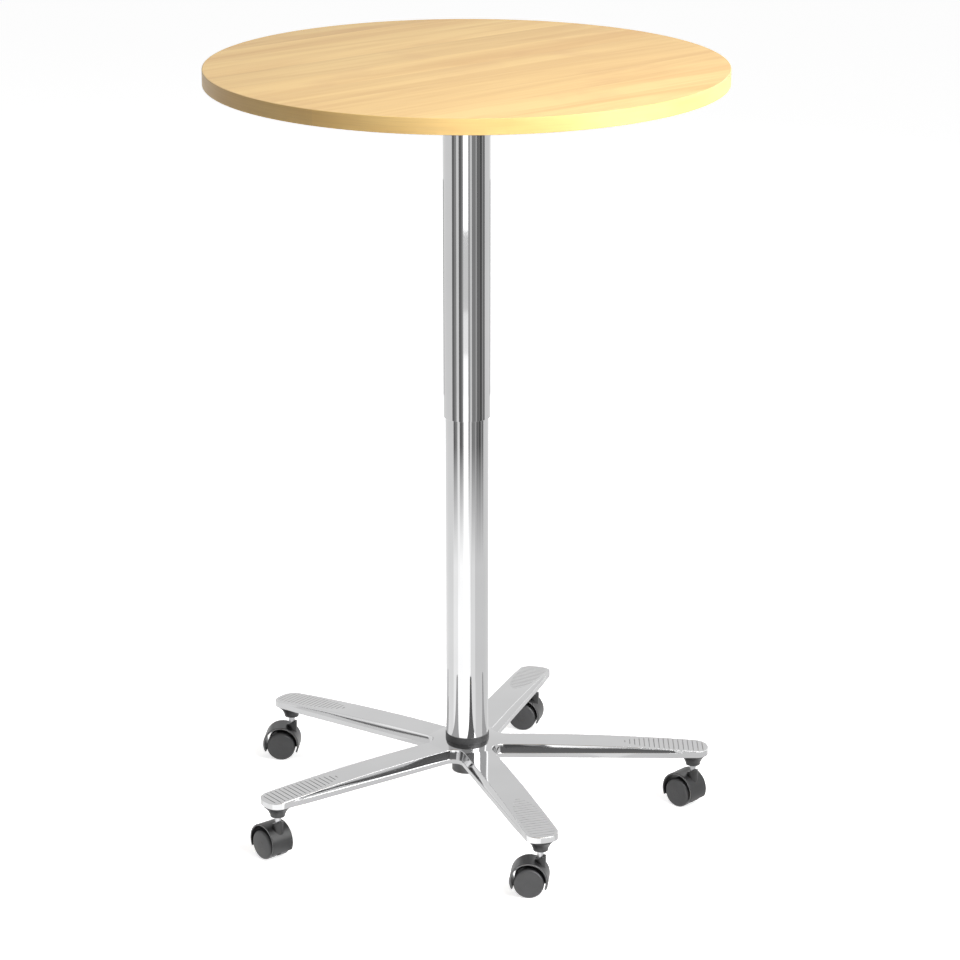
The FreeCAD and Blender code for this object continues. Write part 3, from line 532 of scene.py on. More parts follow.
def build_column(scene):
    s = scene.table_column
    low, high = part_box("upper_tube")
    bm = bmesh.new()
    cylinder = bmesh.ops.create_circle(bm, segments=160, radius=s.upper_radius)["verts"]
    shift(bm, cylinder, 0, 0, low.z)
    rise = bmesh.ops.extrude_edge_only(bm, edges=bm.edges[:])["geom"]
    shift(bm, verts_of(rise), 0, 0, high.z - low.z)
    for point, normal in (((0, 0, LEVER_SLOT_SILL), (0, 0, 1)),
                          ((0, LEVER_SLOT_HALF, 0), (0, 1, 0)),
                          ((0, -LEVER_SLOT_HALF, 0), (0, 1, 0))):
        bmesh.ops.bisect_plane(bm, geom=whole(bm), dist=1e-7, plane_co=point, plane_no=normal)
    gone = faces_where(bm, lambda at, _: at.x > 0 and abs(at.y) < LEVER_SLOT_HALF
                       and at.z > LEVER_SLOT_SILL)
    bmesh.ops.delete(bm, geom=gone, context="FACES")
    bmesh.ops.recalc_face_normals(bm, faces=bm.faces)
    piece = finish_piece(bm, "column_upper", "chrome", "top", "upper_tube")
    wall = piece.modifiers.new("wall", "SOLIDIFY")
    wall.thickness = UPPER_WALL
    wall.offset = -1.0
    rim = piece.modifiers.new("rim", "BEVEL")
    rim.width = s.rim
    rim.segments = 2
    rim.limit_method = "ANGLE"
    rim.angle_limit = math.radians(60)
    piece.modifiers.move(0, 2)
    low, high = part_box("lower_tube")
    tube = ring_section(s.lower_radius - LOWER_WALL, s.lower_radius, low.z, high.z, s.rim, s.rim,
                        s.rim, 3)
    turned_piece("column_lower", tube, "chrome", "base", "lower_tube", 160)
    low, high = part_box("base_ring")
    ring = ring_section(s.lower_radius, FOOT_RING_RADIUS, low.z, high.z, 0.2 * MM, 0.6 * MM)
    turned_piece("foot_ring", ring, "ring", "base", "base_ring")


# ---- base ----------------------------------------------------------------------------

class Arm:
    """The shape of one arm of the base, in millimetres: outline, upper side, underside, flank."""

    hub_reach, waist_reach = 63.0, 265.0
    sector_half = math.radians(36.0)
    hub_half, waist_half, tip_half = 23.6, 24.8, 26.0
    slope = (waist_half - hub_half) / (waist_reach - hub_reach)
    root = 60.3
    notch_reach = 54.0
    tip_centre, tip_radius = 342.0, 45.0
    corner_radius = 19.0
    tip_corner = (tip_centre + math.sqrt((tip_radius - corner_radius) ** 2 - 7.0 ** 2), 7.0)
    bead_half = 27.1
    ledge_height = 102.2
    hub_radius, hub_ring = 38.0, 48.0
    hub_top, hub_under = 119.5, 95.0
    crown = ((63.0, 116.2), (214.0, 113.5), (392.0, 102.2))
    groove_width, groove_depth = 1.4, 0.6
    longest_groove, groove_margin = 20.5, 5.5
    rib_half, pocket_half = 1.5, 16.5
    pocket_start, pocket_end = 72.0, 334.0
    pocket_cover = 5.0
    strip_half = 12.0
    grooves = [253.0 + 7.8 * number for number in range(17)]

    def __init__(self, settings):
        self.edge = settings.edge / MM
        self.shoulder = settings.shoulder / MM
        self.bead = settings.bead / MM
        half = self.sector_half
        lean = math.hypot(1.0, self.slope)
        share = math.sin(half) - self.slope * math.cos(half)
        self.notch_radius = (self.notch_reach * share - self.half_width(0.0)) / (lean - share)
        self.notch_centre = heading(half) * (self.notch_reach + self.notch_radius)
        self.top_circle = circle(*self.crown)

    def half_width(self, reach):
        if reach < self.waist_reach:
            return self.hub_half + self.slope * (reach - self.hub_reach)
        flare = min(1.0, (reach - self.waist_reach) / 85.0)
        return self.waist_half + flare * (self.tip_half - self.waist_half)

    def top(self, radius):
        if radius <= self.hub_radius:
            return self.hub_top
        if radius <= self.hub_reach:
            return self.hub_top - 3.3 * (radius - self.hub_radius) / 25.0
        x, y, r = self.top_circle
        return y + math.sqrt(r * r - (radius - x) ** 2)

    def under(self, radius):
        return self.hub_under - 2.0 * min(1.0, max(0.0, (radius - self.hub_reach) / 271.0))

    def bead_reach(self, reach):
        """How far the bead stands out beyond the arm's upper side."""
        narrowing = max(0.0, 1.1 * (reach - 325.0) / 25.0)
        return max(0.0, self.bead_half - narrowing - self.half_width(reach))

    def under_inset(self, reach):
        """Where the underside ends, measured inwards from the arm's upper side."""
        return self.bead - self.bead_reach(reach)

    def edge_point(self, reach, inset):
        """Point of the outline and its outward direction, for a reach along the upper edge."""
        x, y = self.tip_corner
        if reach <= x:
            return Vector((reach, self.half_width(reach) - inset)), Vector((0.0, 1.0))
        end = self.tip_radius - self.edge
        meet = math.atan2(y, x - self.tip_centre)
        if reach < self.tip_centre + end * math.cos(meet):
            centre, radius = Vector((x, y)), self.corner_radius
        else:
            centre, radius = Vector((self.tip_centre, 0.0)), self.tip_radius
        angle = math.acos(min(1.0, (reach - centre.x) / (radius - self.edge)))
        out = heading(angle)
        return centre + out * (radius - inset), out

    def notch_point(self, share, inset):
        """Point of the round notch: share 0 at the arm's root, 1 halfway to the next arm."""
        angle = math.radians(-90.0 - 54.0 * share)
        out = -heading(angle)
        return self.notch_centre - out * (self.notch_radius + inset), out

    def groove_half(self, number):
        grown = self.longest_groove * (1.0 - math.exp(-(number + 0.5) / 2.5))
        return min(grown, self.edge_point(self.grooves[number], 0.0)[0].y - self.groove_margin)

    def split(self, reach):
        """Where the arm's inner strip ends, which is the grooves' end near the tip."""
        if reach < self.grooves[0] - 8.0:
            return self.strip_half
        nearest = min(range(len(self.grooves)),
                      key=lambda number: abs(self.grooves[number] - reach))
        return min(self.groove_half(nearest), 0.75 * self.edge_point(reach, self.edge)[0].y)

    def reaches(self):
        """Places of the cross lines along the arm, in steps that suit its shape."""
        start = self.pocket_start
        places = [self.root, self.root + 0.3, 66.0, start]
        places += [start + step * (245.0 - start) / 22 for step in range(1, 23)]
        for place in self.grooves:
            places += [place - self.groove_width / 2, place + self.groove_width / 2]
        places += [self.pocket_end, 350.0, 367.04, 381.5, 383.0, 384.19, 384.9, 385.4, 385.7,
                   387.0 - self.edge]
        return sorted(places)

    def flank(self, reach, radius):
        """Levels of the arm's side as (inset, height), from the upper edge down round the bead."""
        high, low = self.top(radius) - self.edge, self.under(radius)
        out = self.bead_reach(reach)
        lip = max(0.0, out - self.shoulder)
        ledge = min(self.ledge_height, high - 1.5)
        levels = []
        for step in range(1, 6):
            turn = math.radians(18.0 * step)
            levels.append((self.edge * (1 - math.sin(turn)), high + self.edge * math.cos(turn)))
        for step in range(1, 13):
            down = 1 - (1 - step / 12) ** 1.5
            cove = 0.85 * down ** 1.15 + 0.15 * (1 - math.sqrt(1 - down * down))
            levels.append((-lip * cove, high - (high - ledge) * down))
        for step in range(1, 5):
            turn = math.radians(22.5 * step)
            levels.append((-lip - (out - lip) * math.sin(turn),
                           ledge - self.shoulder * (1 - math.cos(turn))))
        for step in range(5):
            turn = math.radians(22.5 * step)
            levels.append((self.bead * (1 - math.cos(turn)) - out,
                           low + self.bead * (1 - math.sin(turn))))
        return levels


def point3(plan, height):
    """A point in metres, from its place in the plan and its height in millimetres."""
    return Vector((plan[0], plan[1], height)) * MM


def skin_side(bm, arm, upper):
    """Half of one arm's upper side or underside, with its share of the hub.

    Returns the vertices at the hub, those at the outer edge with their places, and the spokes.
    """
    def inset(reach):
        return arm.edge if upper else arm.under_inset(reach)

    height = arm.top if upper else arm.under
    across, round_notch = 7, 10
    half = arm.sector_half
    root = arm.edge_point(arm.root, inset(arm.root))[0]
    outer = [Vector((arm.root, root.y * step / across)) for step in range(across + 1)]
    outer += [arm.notch_point(step / round_notch, inset(arm.root))[0]
              for step in range(1, round_notch + 1)]
    count = len(outer) - 1
    spokes = []
    for index, place in enumerate(outer):
        angle = min(half, math.atan2(place.y, place.x)) if index < count else half
        spokes.append(heading(angle))
    ring = arm.hub_ring
    chain = draw_chain(bm, [point3(spoke * ring, height(ring)) for spoke in spokes])
    inner = chain
    for share in (0.34, 0.67, 1.0):
        row = [spoke * ring + (place - spoke * ring) * share
               for spoke, place in zip(spokes, outer)]
        chain = pull(bm, chain, [point3(place, height(place.length)) for place in row])
    notch = chain[across:][::-1]
    flanks = [(arm.root, 1.0 - step / round_notch, vert) for step, vert in enumerate(notch)]
    flanks[-1] = (arm.root, None, notch[-1])
    strip = chain[:across + 1]
    for reach in arm.reaches()[1:]:
        place = arm.edge_point(reach, inset(reach))[0]
        if upper:
            part = arm.split(reach)
            lines = [part * step / 4 for step in range(5)]
            lines += [part + (place.y - part) * step / 3 for step in range(1, 4)]
        else:
            rib, wall = min(arm.rib_half, place.y * 0.1), min(arm.pocket_half, place.y * 0.7)
            lines = [0.0, rib] + [rib + (wall - rib) * step / 3 for step in range(1, 4)]
            lines += [wall + (place.y - wall) * step / 3 for step in range(1, 4)]
            lines = lines[:across] + [place.y]
        row = [Vector((place.x, line)) for line in lines]
        strip = pull(bm, strip, [point3(p, height(p.length)) for p in row])
        flanks.append((reach, None, strip[-1]))
    return inner, flanks, spokes


def skin_flank(bm, arm, flanks):
    """The arm's side between its upper and lower edge."""
    tables = []
    for reach, share, vert in flanks:
        if share is None:
            base, out = arm.edge_point(reach, 0.0)
        else:
            base, out = arm.notch_point(share, 0.0)
        tables.append((base, out, arm.flank(reach if share is None else arm.root, base.length)))
    chain = [vert for _, _, vert in flanks]
    count = len(tables[0][2])
    for level in range(count):
        row = []
        for base, out, levels in tables:
            inset, height = levels[level]
            plan = base - out * inset
            row.append(point3(plan, height if level < count - 1 else arm.under(plan.length)))
        chain = pull(bm, chain, row)


def press_in(bm, faces, sink, finish=0):
    """Sinks a patch of faces to new places, with walls round it, and gives it a finish."""
    made = bmesh.ops.extrude_face_region(bm, geom=faces)["geom"]
    for vert in verts_of(made):
        vert.co = sink(vert.co)
        for face in vert.link_faces:
            face.material_index = finish
    bmesh.ops.delete(bm, geom=faces, context="FACES")


def cut_details(bm, arm):
    """Grooves across the upper side near the tip, and the two pockets under the arm."""
    def groove_floor(co, middle):
        return Vector((middle + 0.35 * (co.x - middle), co.y, co.z - arm.groove_depth * MM))

    def pocket_roof(co):
        roof = arm.top(math.hypot(co.x, co.y) / MM) - arm.pocket_cover
        return Vector((co.x, co.y, roof * MM))

    for number, place in enumerate(arm.grooves):
        middle, half = place * MM, arm.groove_half(number) * MM
        patch = faces_where(bm, lambda at, up: up > 0.9 and abs(at.y) < half
                            and abs(at.x - middle) < arm.groove_width / 2 * MM)
        # The grooves' walls and floor take the second finish: matt, and dark as painted shade.
        press_in(bm, patch, lambda co: groove_floor(co, middle), 1)
    for side in (1.0 / MM, -1.0 / MM):
        patch = faces_where(bm, lambda at, up: up < -0.9
                            and arm.pocket_start < at.x / MM < arm.pocket_end
                            and arm.rib_half < at.y * side < arm.pocket_half)
        press_in(bm, patch, pocket_roof)


def build_base(scene):
    arm = Arm(scene.table_base)
    bm = bmesh.new()
    upper_ring, flanks, spokes = skin_side(bm, arm, True)
    _, _, lower_spokes = skin_side(bm, arm, False)
    skin_flank(bm, arm, flanks)
    chain = upper_ring
    tube_seat, cup_seat, bolt_hole, seat_floor = 33.75, 24.5, 6.0, 101.0
    for radius, height in ((arm.hub_radius, arm.hub_top), (tube_seat, arm.hub_top),
                           (tube_seat, seat_floor), (bolt_hole, seat_floor),
                           (bolt_hole, arm.hub_under), (cup_seat, arm.hub_under)):
        chain = pull(bm, chain, [point3(spoke * radius, height) for spoke in spokes])
    pull(bm, chain, [point3(spoke * arm.hub_ring, arm.hub_under) for spoke in lower_spokes])
    bmesh.ops.mirror(bm, geom=whole(bm), axis="Y", merge_dist=1e-6)
    bmesh.ops.remove_doubles(bm, verts=bm.verts, dist=2e-6)
    bmesh.ops.recalc_face_normals(bm, faces=bm.faces)
    bm.normal_update()
    hub_top = faces_where(bm, lambda at, _: abs(at.z - arm.hub_top * MM) < 1e-5)
    if sum(f.normal.z for f in hub_top) < 0:
        bmesh.ops.reverse_faces(bm, faces=bm.faces)
        bm.normal_update()
    cut_details(bm, arm)
    one = whole(bm)
    for number in range(1, 5):
        copy = bmesh.ops.duplicate(bm, geom=one)["geom"]
        rotate_about(bm, verts_of(copy), 72.0 * number, "Z")
    bmesh.ops.remove_doubles(bm, verts=bm.verts, dist=5e-6)
    bmesh.ops.dissolve_degenerate(bm, edges=bm.edges, dist=1e-6)
    bmesh.ops.recalc_face_normals(bm, faces=bm.faces)
    finish_piece(bm, "star_casting", "casting", "base", "star_base", 28.0,
                 "groove")
    cup = [(6.0, 95.0, 0), (24.5, 95.0, 0.3), (24.5, 65.0, 0.8), (20.5, 65.0, 0.8),
           (20.5, 82.5, 1.5), (6.0, 82.5, 0)]
    cup = metres(soften(cup, True))
    turned_piece("under_cup", cup, "cup", "base", "clamp_cup", 96)
    washer = metres(ring_section(6.0, 12.0, 80.0, 82.5, 0.5, 0.2))
    turned_piece("under_washer", washer, "steel", "base", "clamp_washer", 64)


# ---- castors -------------------------------------------------------------------------

# The hood's wall and half widths in millimetres, and its arc in degrees from the front end.
HOOD_WALL, HOOD_HALF_WIDTH = 2.8, 19.4
HOOD_START, HOOD_SWEEP = -26.0, 232.0
WEB_HALF = 3.4


def socket_mesh(bm, s):
    outline = [(5.05, 72.8), (10.5, 72.8), (11.3, 73.1), (11.6, 73.7)]
    outline += curve((11.7, 75.5), (15.9, 84.2), (21.2, 89.6), 12)
    outline += [(21.2, 93.0), (8.5, 93.0), (8.5, 101.0), (0.0, 101.0), (0.0, 99.5), (5.05, 99.5)]
    lathe(bm, metres(outline), True, 72)


def stem_mesh(bm, s):
    stem = [(0, 51.5, 0), (5.0, 51.5, 0.8), (5.0, 99.0, 0.8), (0, 99.0, 0)]
    lathe(bm, metres(soften(stem)), False, 48)


def wheel_mesh(bm, s, side):
    """A dished wheel: domed face with a fine turned line, round shoulder, rim and hub."""
    r = s.wheel / MM
    outline = [(0, 17.9), (3.05, 17.9), (3.05, 4.0), (7.0, 4.0), (7.0, 17.5), (r - 4.0, 17.5),
               (r - 4.0, 4.0), (r - 0.5, 4.0), (r, 4.5), (r, 16.5)]
    outline += curve((r, 16.5), (r - 1.17, 19.33), (r - 4.0, 20.5), 6)[1:]
    outline += [(14.0, 20.92), (8.0, 21.17), (5.6, 21.24), (5.4, 21.05), (5.2, 21.24), (0, 21.3)]
    lathe(bm, metres(outline), False, 96)
    rotate_about(bm, bm.verts, -90.0 * side, "X")
    shift(bm, bm.verts, -s.trail, 0, s.wheel)


def axle_mesh(bm, s):
    pin = [(0, -17.6, 0), (3.0, -17.6, 0.3), (3.0, 17.6, 0.3), (0, 17.6, 0)]
    lathe(bm, metres(soften(pin, False, 2)), False, 32)
    rotate_about(bm, bm.verts, 90.0, "X")
    shift(bm, bm.verts, -s.trail, 0, s.wheel)


def hood_shell(bm, s):
    """The band that arches over both wheels, from one arm's end to the other."""
    outer = s.hood / MM
    inner, half = outer - HOOD_WALL, HOOD_HALF_WIDTH
    section = soften([(inner, -half, 0.4), (outer, -half, 0.8), (outer, half, 0.8),
                      (inner, half, 0.4)], True)
    start = math.radians(HOOD_START)
    verts = [bm.verts.new((r * math.cos(start) * MM, y * MM, r * math.sin(start) * MM))
             for r, y in section]
    edges = [bm.edges.new(pair) for pair in zip(verts, verts[1:] + verts[:1])]
    made = bmesh.ops.spin(bm, geom=verts + edges, axis=(0, -1, 0), cent=(0, 0, 0), steps=72,
                          angle=math.radians(HOOD_SWEEP))["geom_last"]
    bmesh.ops.contextual_create(bm, geom=edges)
    bmesh.ops.contextual_create(bm, geom=[e for e in made if isinstance(e, bmesh.types.BMEdge)])
    shift(bm, bm.verts, -s.trail, 0, s.wheel + s.rise)
    bmesh.ops.recalc_face_normals(bm, faces=bm.faces)
    bm.normal_update()
    # The hood's flat sides take the lighter plastic: a painted highlight.
    for face in bm.faces:
        if abs(face.normal.y) > 0.9:
            face.material_index = 1


def hood_web(bm, s):
    """The plate between the wheels, from the axle up to the shell."""
    axle = -s.trail / MM
    over = s.wheel / MM
    centre = (s.wheel + s.rise) / MM
    outer = s.hood / MM - 1.6
    nose = axle + s.hood / MM - 3.0
    outline = [(axle - 9.0, over - 6.0), (axle + 9.0, over - 9.0), (nose, over - 4.0)]
    first = math.acos((nose - axle) / outer)
    last = math.acos(-9.0 / outer)
    for step in range(17):
        turn = first + (last - first) * step / 16
        outline.append((axle + outer * math.cos(turn), centre + outer * math.sin(turn)))
    shape = bmesh.new()
    prism(shape, metres(outline), -WEB_HALF * MM, WEB_HALF * MM, 0.4 * MM)
    rotate_about(shape, shape.verts, 90.0, "X")
    add_to(bm, shape)


def slice_off(bm, point, lean, above):
    """Cuts a shape along a leaning plane and closes the cut; returns the cut's edge."""
    normal = Vector((-lean, 0, 1)).normalized() * (1 if above else -1)
    bmesh.ops.bisect_plane(bm, geom=whole(bm), dist=1e-7, plane_co=point, plane_no=normal,
                           clear_outer=True)
    rim = [e for e in bm.edges if e.is_boundary]
    bmesh.ops.contextual_create(bm, geom=rim)
    return rim


def hood_boss(bm):
    """The collar that holds the stem, its top slanting down over the wheels."""
    shape = bmesh.new()
    lathe(shape, metres([(0, 36.0), (8.6, 36.0), (8.6, 70.0), (0, 70.0)]), False, 64)
    slice_off(shape, (0, 0, 49.5 * MM), -0.756, False)
    lip = slice_off(shape, (0, 0, 61.7 * MM), 5.4 / 17.2, True)
    bmesh.ops.recalc_face_normals(shape, faces=shape.faces)
    round_edges(shape, lip, 0.6 * MM, 3)
    add_to(bm, shape)


def add_to(bm, shape):
    """Adds a finished shape to a larger piece."""
    mesh = bpy.data.meshes.new("part")
    shape.to_mesh(mesh)
    shape.free()
    bm.from_mesh(mesh)
    bpy.data.meshes.remove(mesh)


def hood_mesh(bm, s):
    hood_shell(bm, s)
    hood_web(bm, s)
    hood_boss(bm)


def build_castors(scene):
    s = scene.table_castors
    kinds = (("socket", socket_mesh, "socket", "base", "black_plastic"),
             ("stem", stem_mesh, "steel", "castor", "steel"),
             ("axle", axle_mesh, "steel", "castor", "steel"),
             ("hood", hood_mesh, "hood", "castor", "castor_plastic"),
             ("wheel_a", lambda bm, s: wheel_mesh(bm, s, 1), "wheel", "wheel_a", "wheel_plastic"),
             ("wheel_b", lambda bm, s: wheel_mesh(bm, s, -1), "wheel", "wheel_b", "wheel_plastic"))
    for place, angle, turn in CASTORS:
        spot = heading(math.radians(angle)).to_3d() * s.reach
        move = Matrix.Translation(spot) @ Matrix.Rotation(math.radians(turn), 4, "Z")
        for kind, make, finish, body, slot in kinds:
            bm = bmesh.new()
            make(bm, s)
            bmesh.ops.transform(bm, matrix=move, verts=bm.verts)
            rider = "base" if body == "base" else "%s_%s" % (body, place)
            finish_piece(bm, "castor_%s_%s" % (kind, place), finish, rider,
                         "%s_%s" % (kind, place),
                         accent="hood_edge" if kind == "hood" else None)


# ---- plate, screws and lever ---------------------------------------------------------

def build_plate():
    low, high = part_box("mounting_plate")
    half, corner, pitch = high.x, 12.0 * MM, 100.0 * MM
    corners = [(x * half, y * half, corner) for x, y in ((-1, -1), (1, -1), (1, 1), (-1, 1))]
    bm = bmesh.new()
    prism(bm, soften(corners, True, 10), low.z, high.z, 0.0006)
    finish_piece(bm, "under_plate", "paint", "top", "mounting_plate")
    bm = bmesh.new()
    for x in (-pitch, 0.0, pitch):
        for y in (-pitch, 0.0, pitch):
            if x or y:
                screw(bm, x, y, low.z)
    finish_piece(bm, "under_screws", "steel", "top", "panel_screws")


def screw(bm, x, y, seat):
    """A pan-head wood screw with a round recess in its head."""
    shape = bmesh.new()
    head = [(0, seat - 0.0035, 0), (0.0030, seat - 0.0035, 0), (0.0050, seat - 0.0026, 0.0005),
            (0.0050, seat, 0), (0.0025, seat, 0), (0.0025, seat + 0.020, 0.0008),
            (0, seat + 0.020, 0)]
    lathe(shape, soften(head, False, 3), False, 32)
    bottom = faces_where(shape, lambda at, up: up < -0.9 and at.z < seat - 0.0034)
    bmesh.ops.dissolve_faces(shape, faces=bottom)
    face = min(shape.faces, key=lambda f: f.calc_center_median().z)
    bmesh.ops.inset_region(shape, faces=[face], thickness=0.0010)
    made = bmesh.ops.extrude_face_region(shape, geom=[face])["geom"]
    bmesh.ops.delete(shape, geom=[face], context="FACES")
    shift(shape, verts_of(made), 0, 0, 0.0016)
    shift(shape, shape.verts, x, y, 0)
    add_to(bm, shape)


def lever_outline():
    drop, high, low = 20.5, 1175.0, 1170.0
    return [(-6, high, 0), (41, high, 6), (73, high - drop, 6), (200, high - drop, 0),
            (200, low - drop, 0), (71.5, low - drop, 6), (39.5, low, 6), (-6, low, 0)]


def build_lever():
    bm = bmesh.new()
    prism(bm, metres(soften(lever_outline(), True, 5)), -4.0 * MM, 4.0 * MM, 0.5 * MM)
    rotate_about(bm, bm.verts, 90.0, "X")
    finish_piece(bm, "hand_lever", "chrome", "lever", "release_lever")
    bm = bmesh.new()
    grip = [(0, 140.0), (5.0, 140.0), (6.4, 140.7), (7.0, 142.5), (7.0, 150.0)]
    for step in range(9):
        at = 151.0 + 6.0 * step
        grip += [(7.0, at), (6.5, at + 0.8), (6.5, at + 2.2), (7.0, at + 3.0)]
    grip += [(7.0, 209.5), (6.4, 211.3), (5.0, 212.0), (0, 212.0)]
    lathe(bm, metres(grip), False, 48)
    rotate_about(bm, bm.verts, 90.0, "Y")
    grip_height = 1.152
    shift(bm, bm.verts, 0, 0, grip_height)
    finish_piece(bm, "lever_handle", "grip", "lever", "lever_grip")


def finish_inner_parts():
    """The pieces inside the column, and small ones whose shape is already right."""
    finishes = {"guide_rail": "bush", "lower_guide_bush": "bush", "upper_guide_bush": "bush",
                "gas_cylinder": "paint", "cylinder_gland": "steel", "piston": "steel",
                "piston_rod": "steel", "spring_centring_disc": "bush", "release_head": "paint",
                "hinge_pin": "steel", "release_pin": "steel", "foot_plug": "steel",
                "clamp_bolt": "steel"}
    for node, finish in finishes.items():
        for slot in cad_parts[node].material_slots:
            slot.material = MATERIALS[finish]


# ---- stage ---------------------------------------------------------------------------

def bare_material(name):
    """A material with an empty node tree, and the builder for it."""
    material = bpy.data.materials.new(name)
    material.use_nodes = True
    material.node_tree.nodes.clear()
    return material, Nodes(material.node_tree)


# Distances from the axis, in metres, between which a card's level changes.
CARD_FADE = (1.0, 2.5)


def emission(name, level, near, fade):
    """A plain glowing surface, used for the painted reflections; with a near level it changes to
    that one towards the object.
    """
    material, n = bare_material(name)
    if near is not None:
        place = n.node("TexCoord").outputs["Object"]
        distance = n.node("VectorMath", {"operation": "LENGTH"}, Vector=place)
        level = n.span(distance.outputs["Value"], near, level, *fade)
    light = n.node("Emission", Strength=level)
    n.node("OutputMaterial", Surface=light.outputs[0])
    return material


def seen_directly(n):
    """1 for rays from the camera, a mirror or glass, and 0 for those that only carry light."""
    path = n.node("LightPath").outputs
    seen = n.maths("MAXIMUM", path["Is Camera Ray"], path["Is Glossy Ray"])
    return n.maths("MAXIMUM", seen, path["Is Transmission Ray"])


def build_floor():
    bm = bmesh.new()
    bmesh.ops.create_grid(bm, x_segments=1, y_segments=1, size=FLOOR_SIZE)
    material, n = bare_material("studio_white")
    paper = n.node("BsdfDiffuse", Color=(0.80, 0.80, 0.80, 1))
    glow = n.node("Emission", Color=(0.70, 0.70, 0.70, 1), Strength=seen_directly(n))
    both = n.node("AddShader")
    n.feed(both, 0, paper.outputs[0])
    n.feed(both, 1, glow.outputs[0])
    n.node("OutputMaterial", Surface=both.outputs[0])
    stage_object(bm, "studio_floor", material)


def build_world(level):
    world = bpy.data.worlds.new("studio_air")
    world.use_nodes = True
    world.node_tree.nodes.clear()
    n = Nodes(world.node_tree)
    strength = n.span(seen_directly(n), level, 1.0)
    air = n.node("Background", Color=(1, 1, 1, 1), Strength=strength)
    n.node("OutputWorld", Surface=air.outputs[0])
    bpy.context.scene.world = world


def area_light(name, place, target, size, power):
    lamp = bpy.data.lights.new(name, "AREA")
    lamp.size = size
    lamp.energy = power
    holder = bpy.data.objects.new(name, lamp)
    bpy.context.scene.collection.objects.link(holder)
    holder.location = place
    holder.rotation_euler = (Vector(target) - Vector(place)).to_track_quat("-Z", "Y").to_euler()


def stage_object(bm, name, material):
    mesh = bpy.data.meshes.new(name)
    bm.to_mesh(mesh)
    bm.free()
    mesh.materials.append(material)
    made = bpy.data.objects.new(name, mesh)
    bpy.context.scene.collection.objects.link(made)
    return made


def reflected_only(bm, name, material):
    """A stage object that only polished surfaces show: a glowing sheet that lights nothing, a
    painted reflection.
    """
    card = stage_object(bm, name, material)
    for kind in ("camera", "diffuse", "shadow", "transmission", "volume_scatter"):
        setattr(card, "visible_" + kind, False)


def ring_points(first, last, distance, height):
    """Points between two bearings, counted in degrees from the front towards +X."""
    steps = max(4, int(abs(last - first) / 5))
    bearings = [math.radians(first + (last - first) * step / steps) for step in range(steps + 1)]
    return [Vector((math.sin(bearing) * distance, -math.cos(bearing) * distance, height))
            for bearing in bearings]


def card(name, first, last, start, end, level, near_level=None, fade=CARD_FADE):
    """A painted reflection: a glowing sheet between two bearings, its two long edges given as
    (distance, height).
    """
    bm = bmesh.new()
    chain = draw_chain(bm, ring_points(first, last, *start))
    pull(bm, chain, ring_points(first, last, *end))
    reflected_only(bm, name, emission(name, level, near_level, fade))


FLOOR_SIZE = 30.0
CAMERA_PLACE = (0.02034, -5.265, 2.211)
CAMERA_TILT = math.radians(72.51)
FILM_WIDTH = 36.0

# Painted reflections of the floor, seen only in polished surfaces. Two bearings from the front in
# degrees and a level; a floor sector's level is that by the table.
PAINTED_FLOOR_REFLECTIONS = ((-180, -78, 1.2), (-78, -50, 1.45), (-50, 18, 1.8), (18, 45, 1.25),
                 (45, 180, 1.0))
# Painted reflections: light and dark stripes on the floor in front, and low sheets behind; each two
# bearings from the front in degrees and a level.
PAINTED_STRIPE_REFLECTIONS = ((-76, -63, 0.21), (-63, -52, 0.38), (-39, -27, 0.18), (-27, -22, 0.30),
                 (-22, -17, 0.55), (7, 16, 0.53), (25, 43, 0.34), (43, 52, 0.55), (52, 57, 0.13),
                 (57, 67, 0.24), (67, 79, 0.12), (79, 85, 0.46), (85, 98, 0.25))
PAINTED_SIDE_REFLECTIONS = ((150, 156, 0.25), (160, 168, 0.10), (-158, -150, 0.20), (-172, -166, 0.12))
# The painted reflection of a bright stripe in front of the column: two distances from the axis in
# metres and a level.
PAINTED_BRIGHT_REFLECTION = ((0.34, 2.45, 2.2), (2.45, 2.8, 1.8), (2.8, 3.2, 1.35), (3.2, 4.05, 0.97),
                 (4.05, 6.0, 2.2))
SECTOR_HEIGHT, STRIPE_HEIGHT = 0.001, 0.002
SECTOR_START, STRIPE_START = 0.34, 0.62


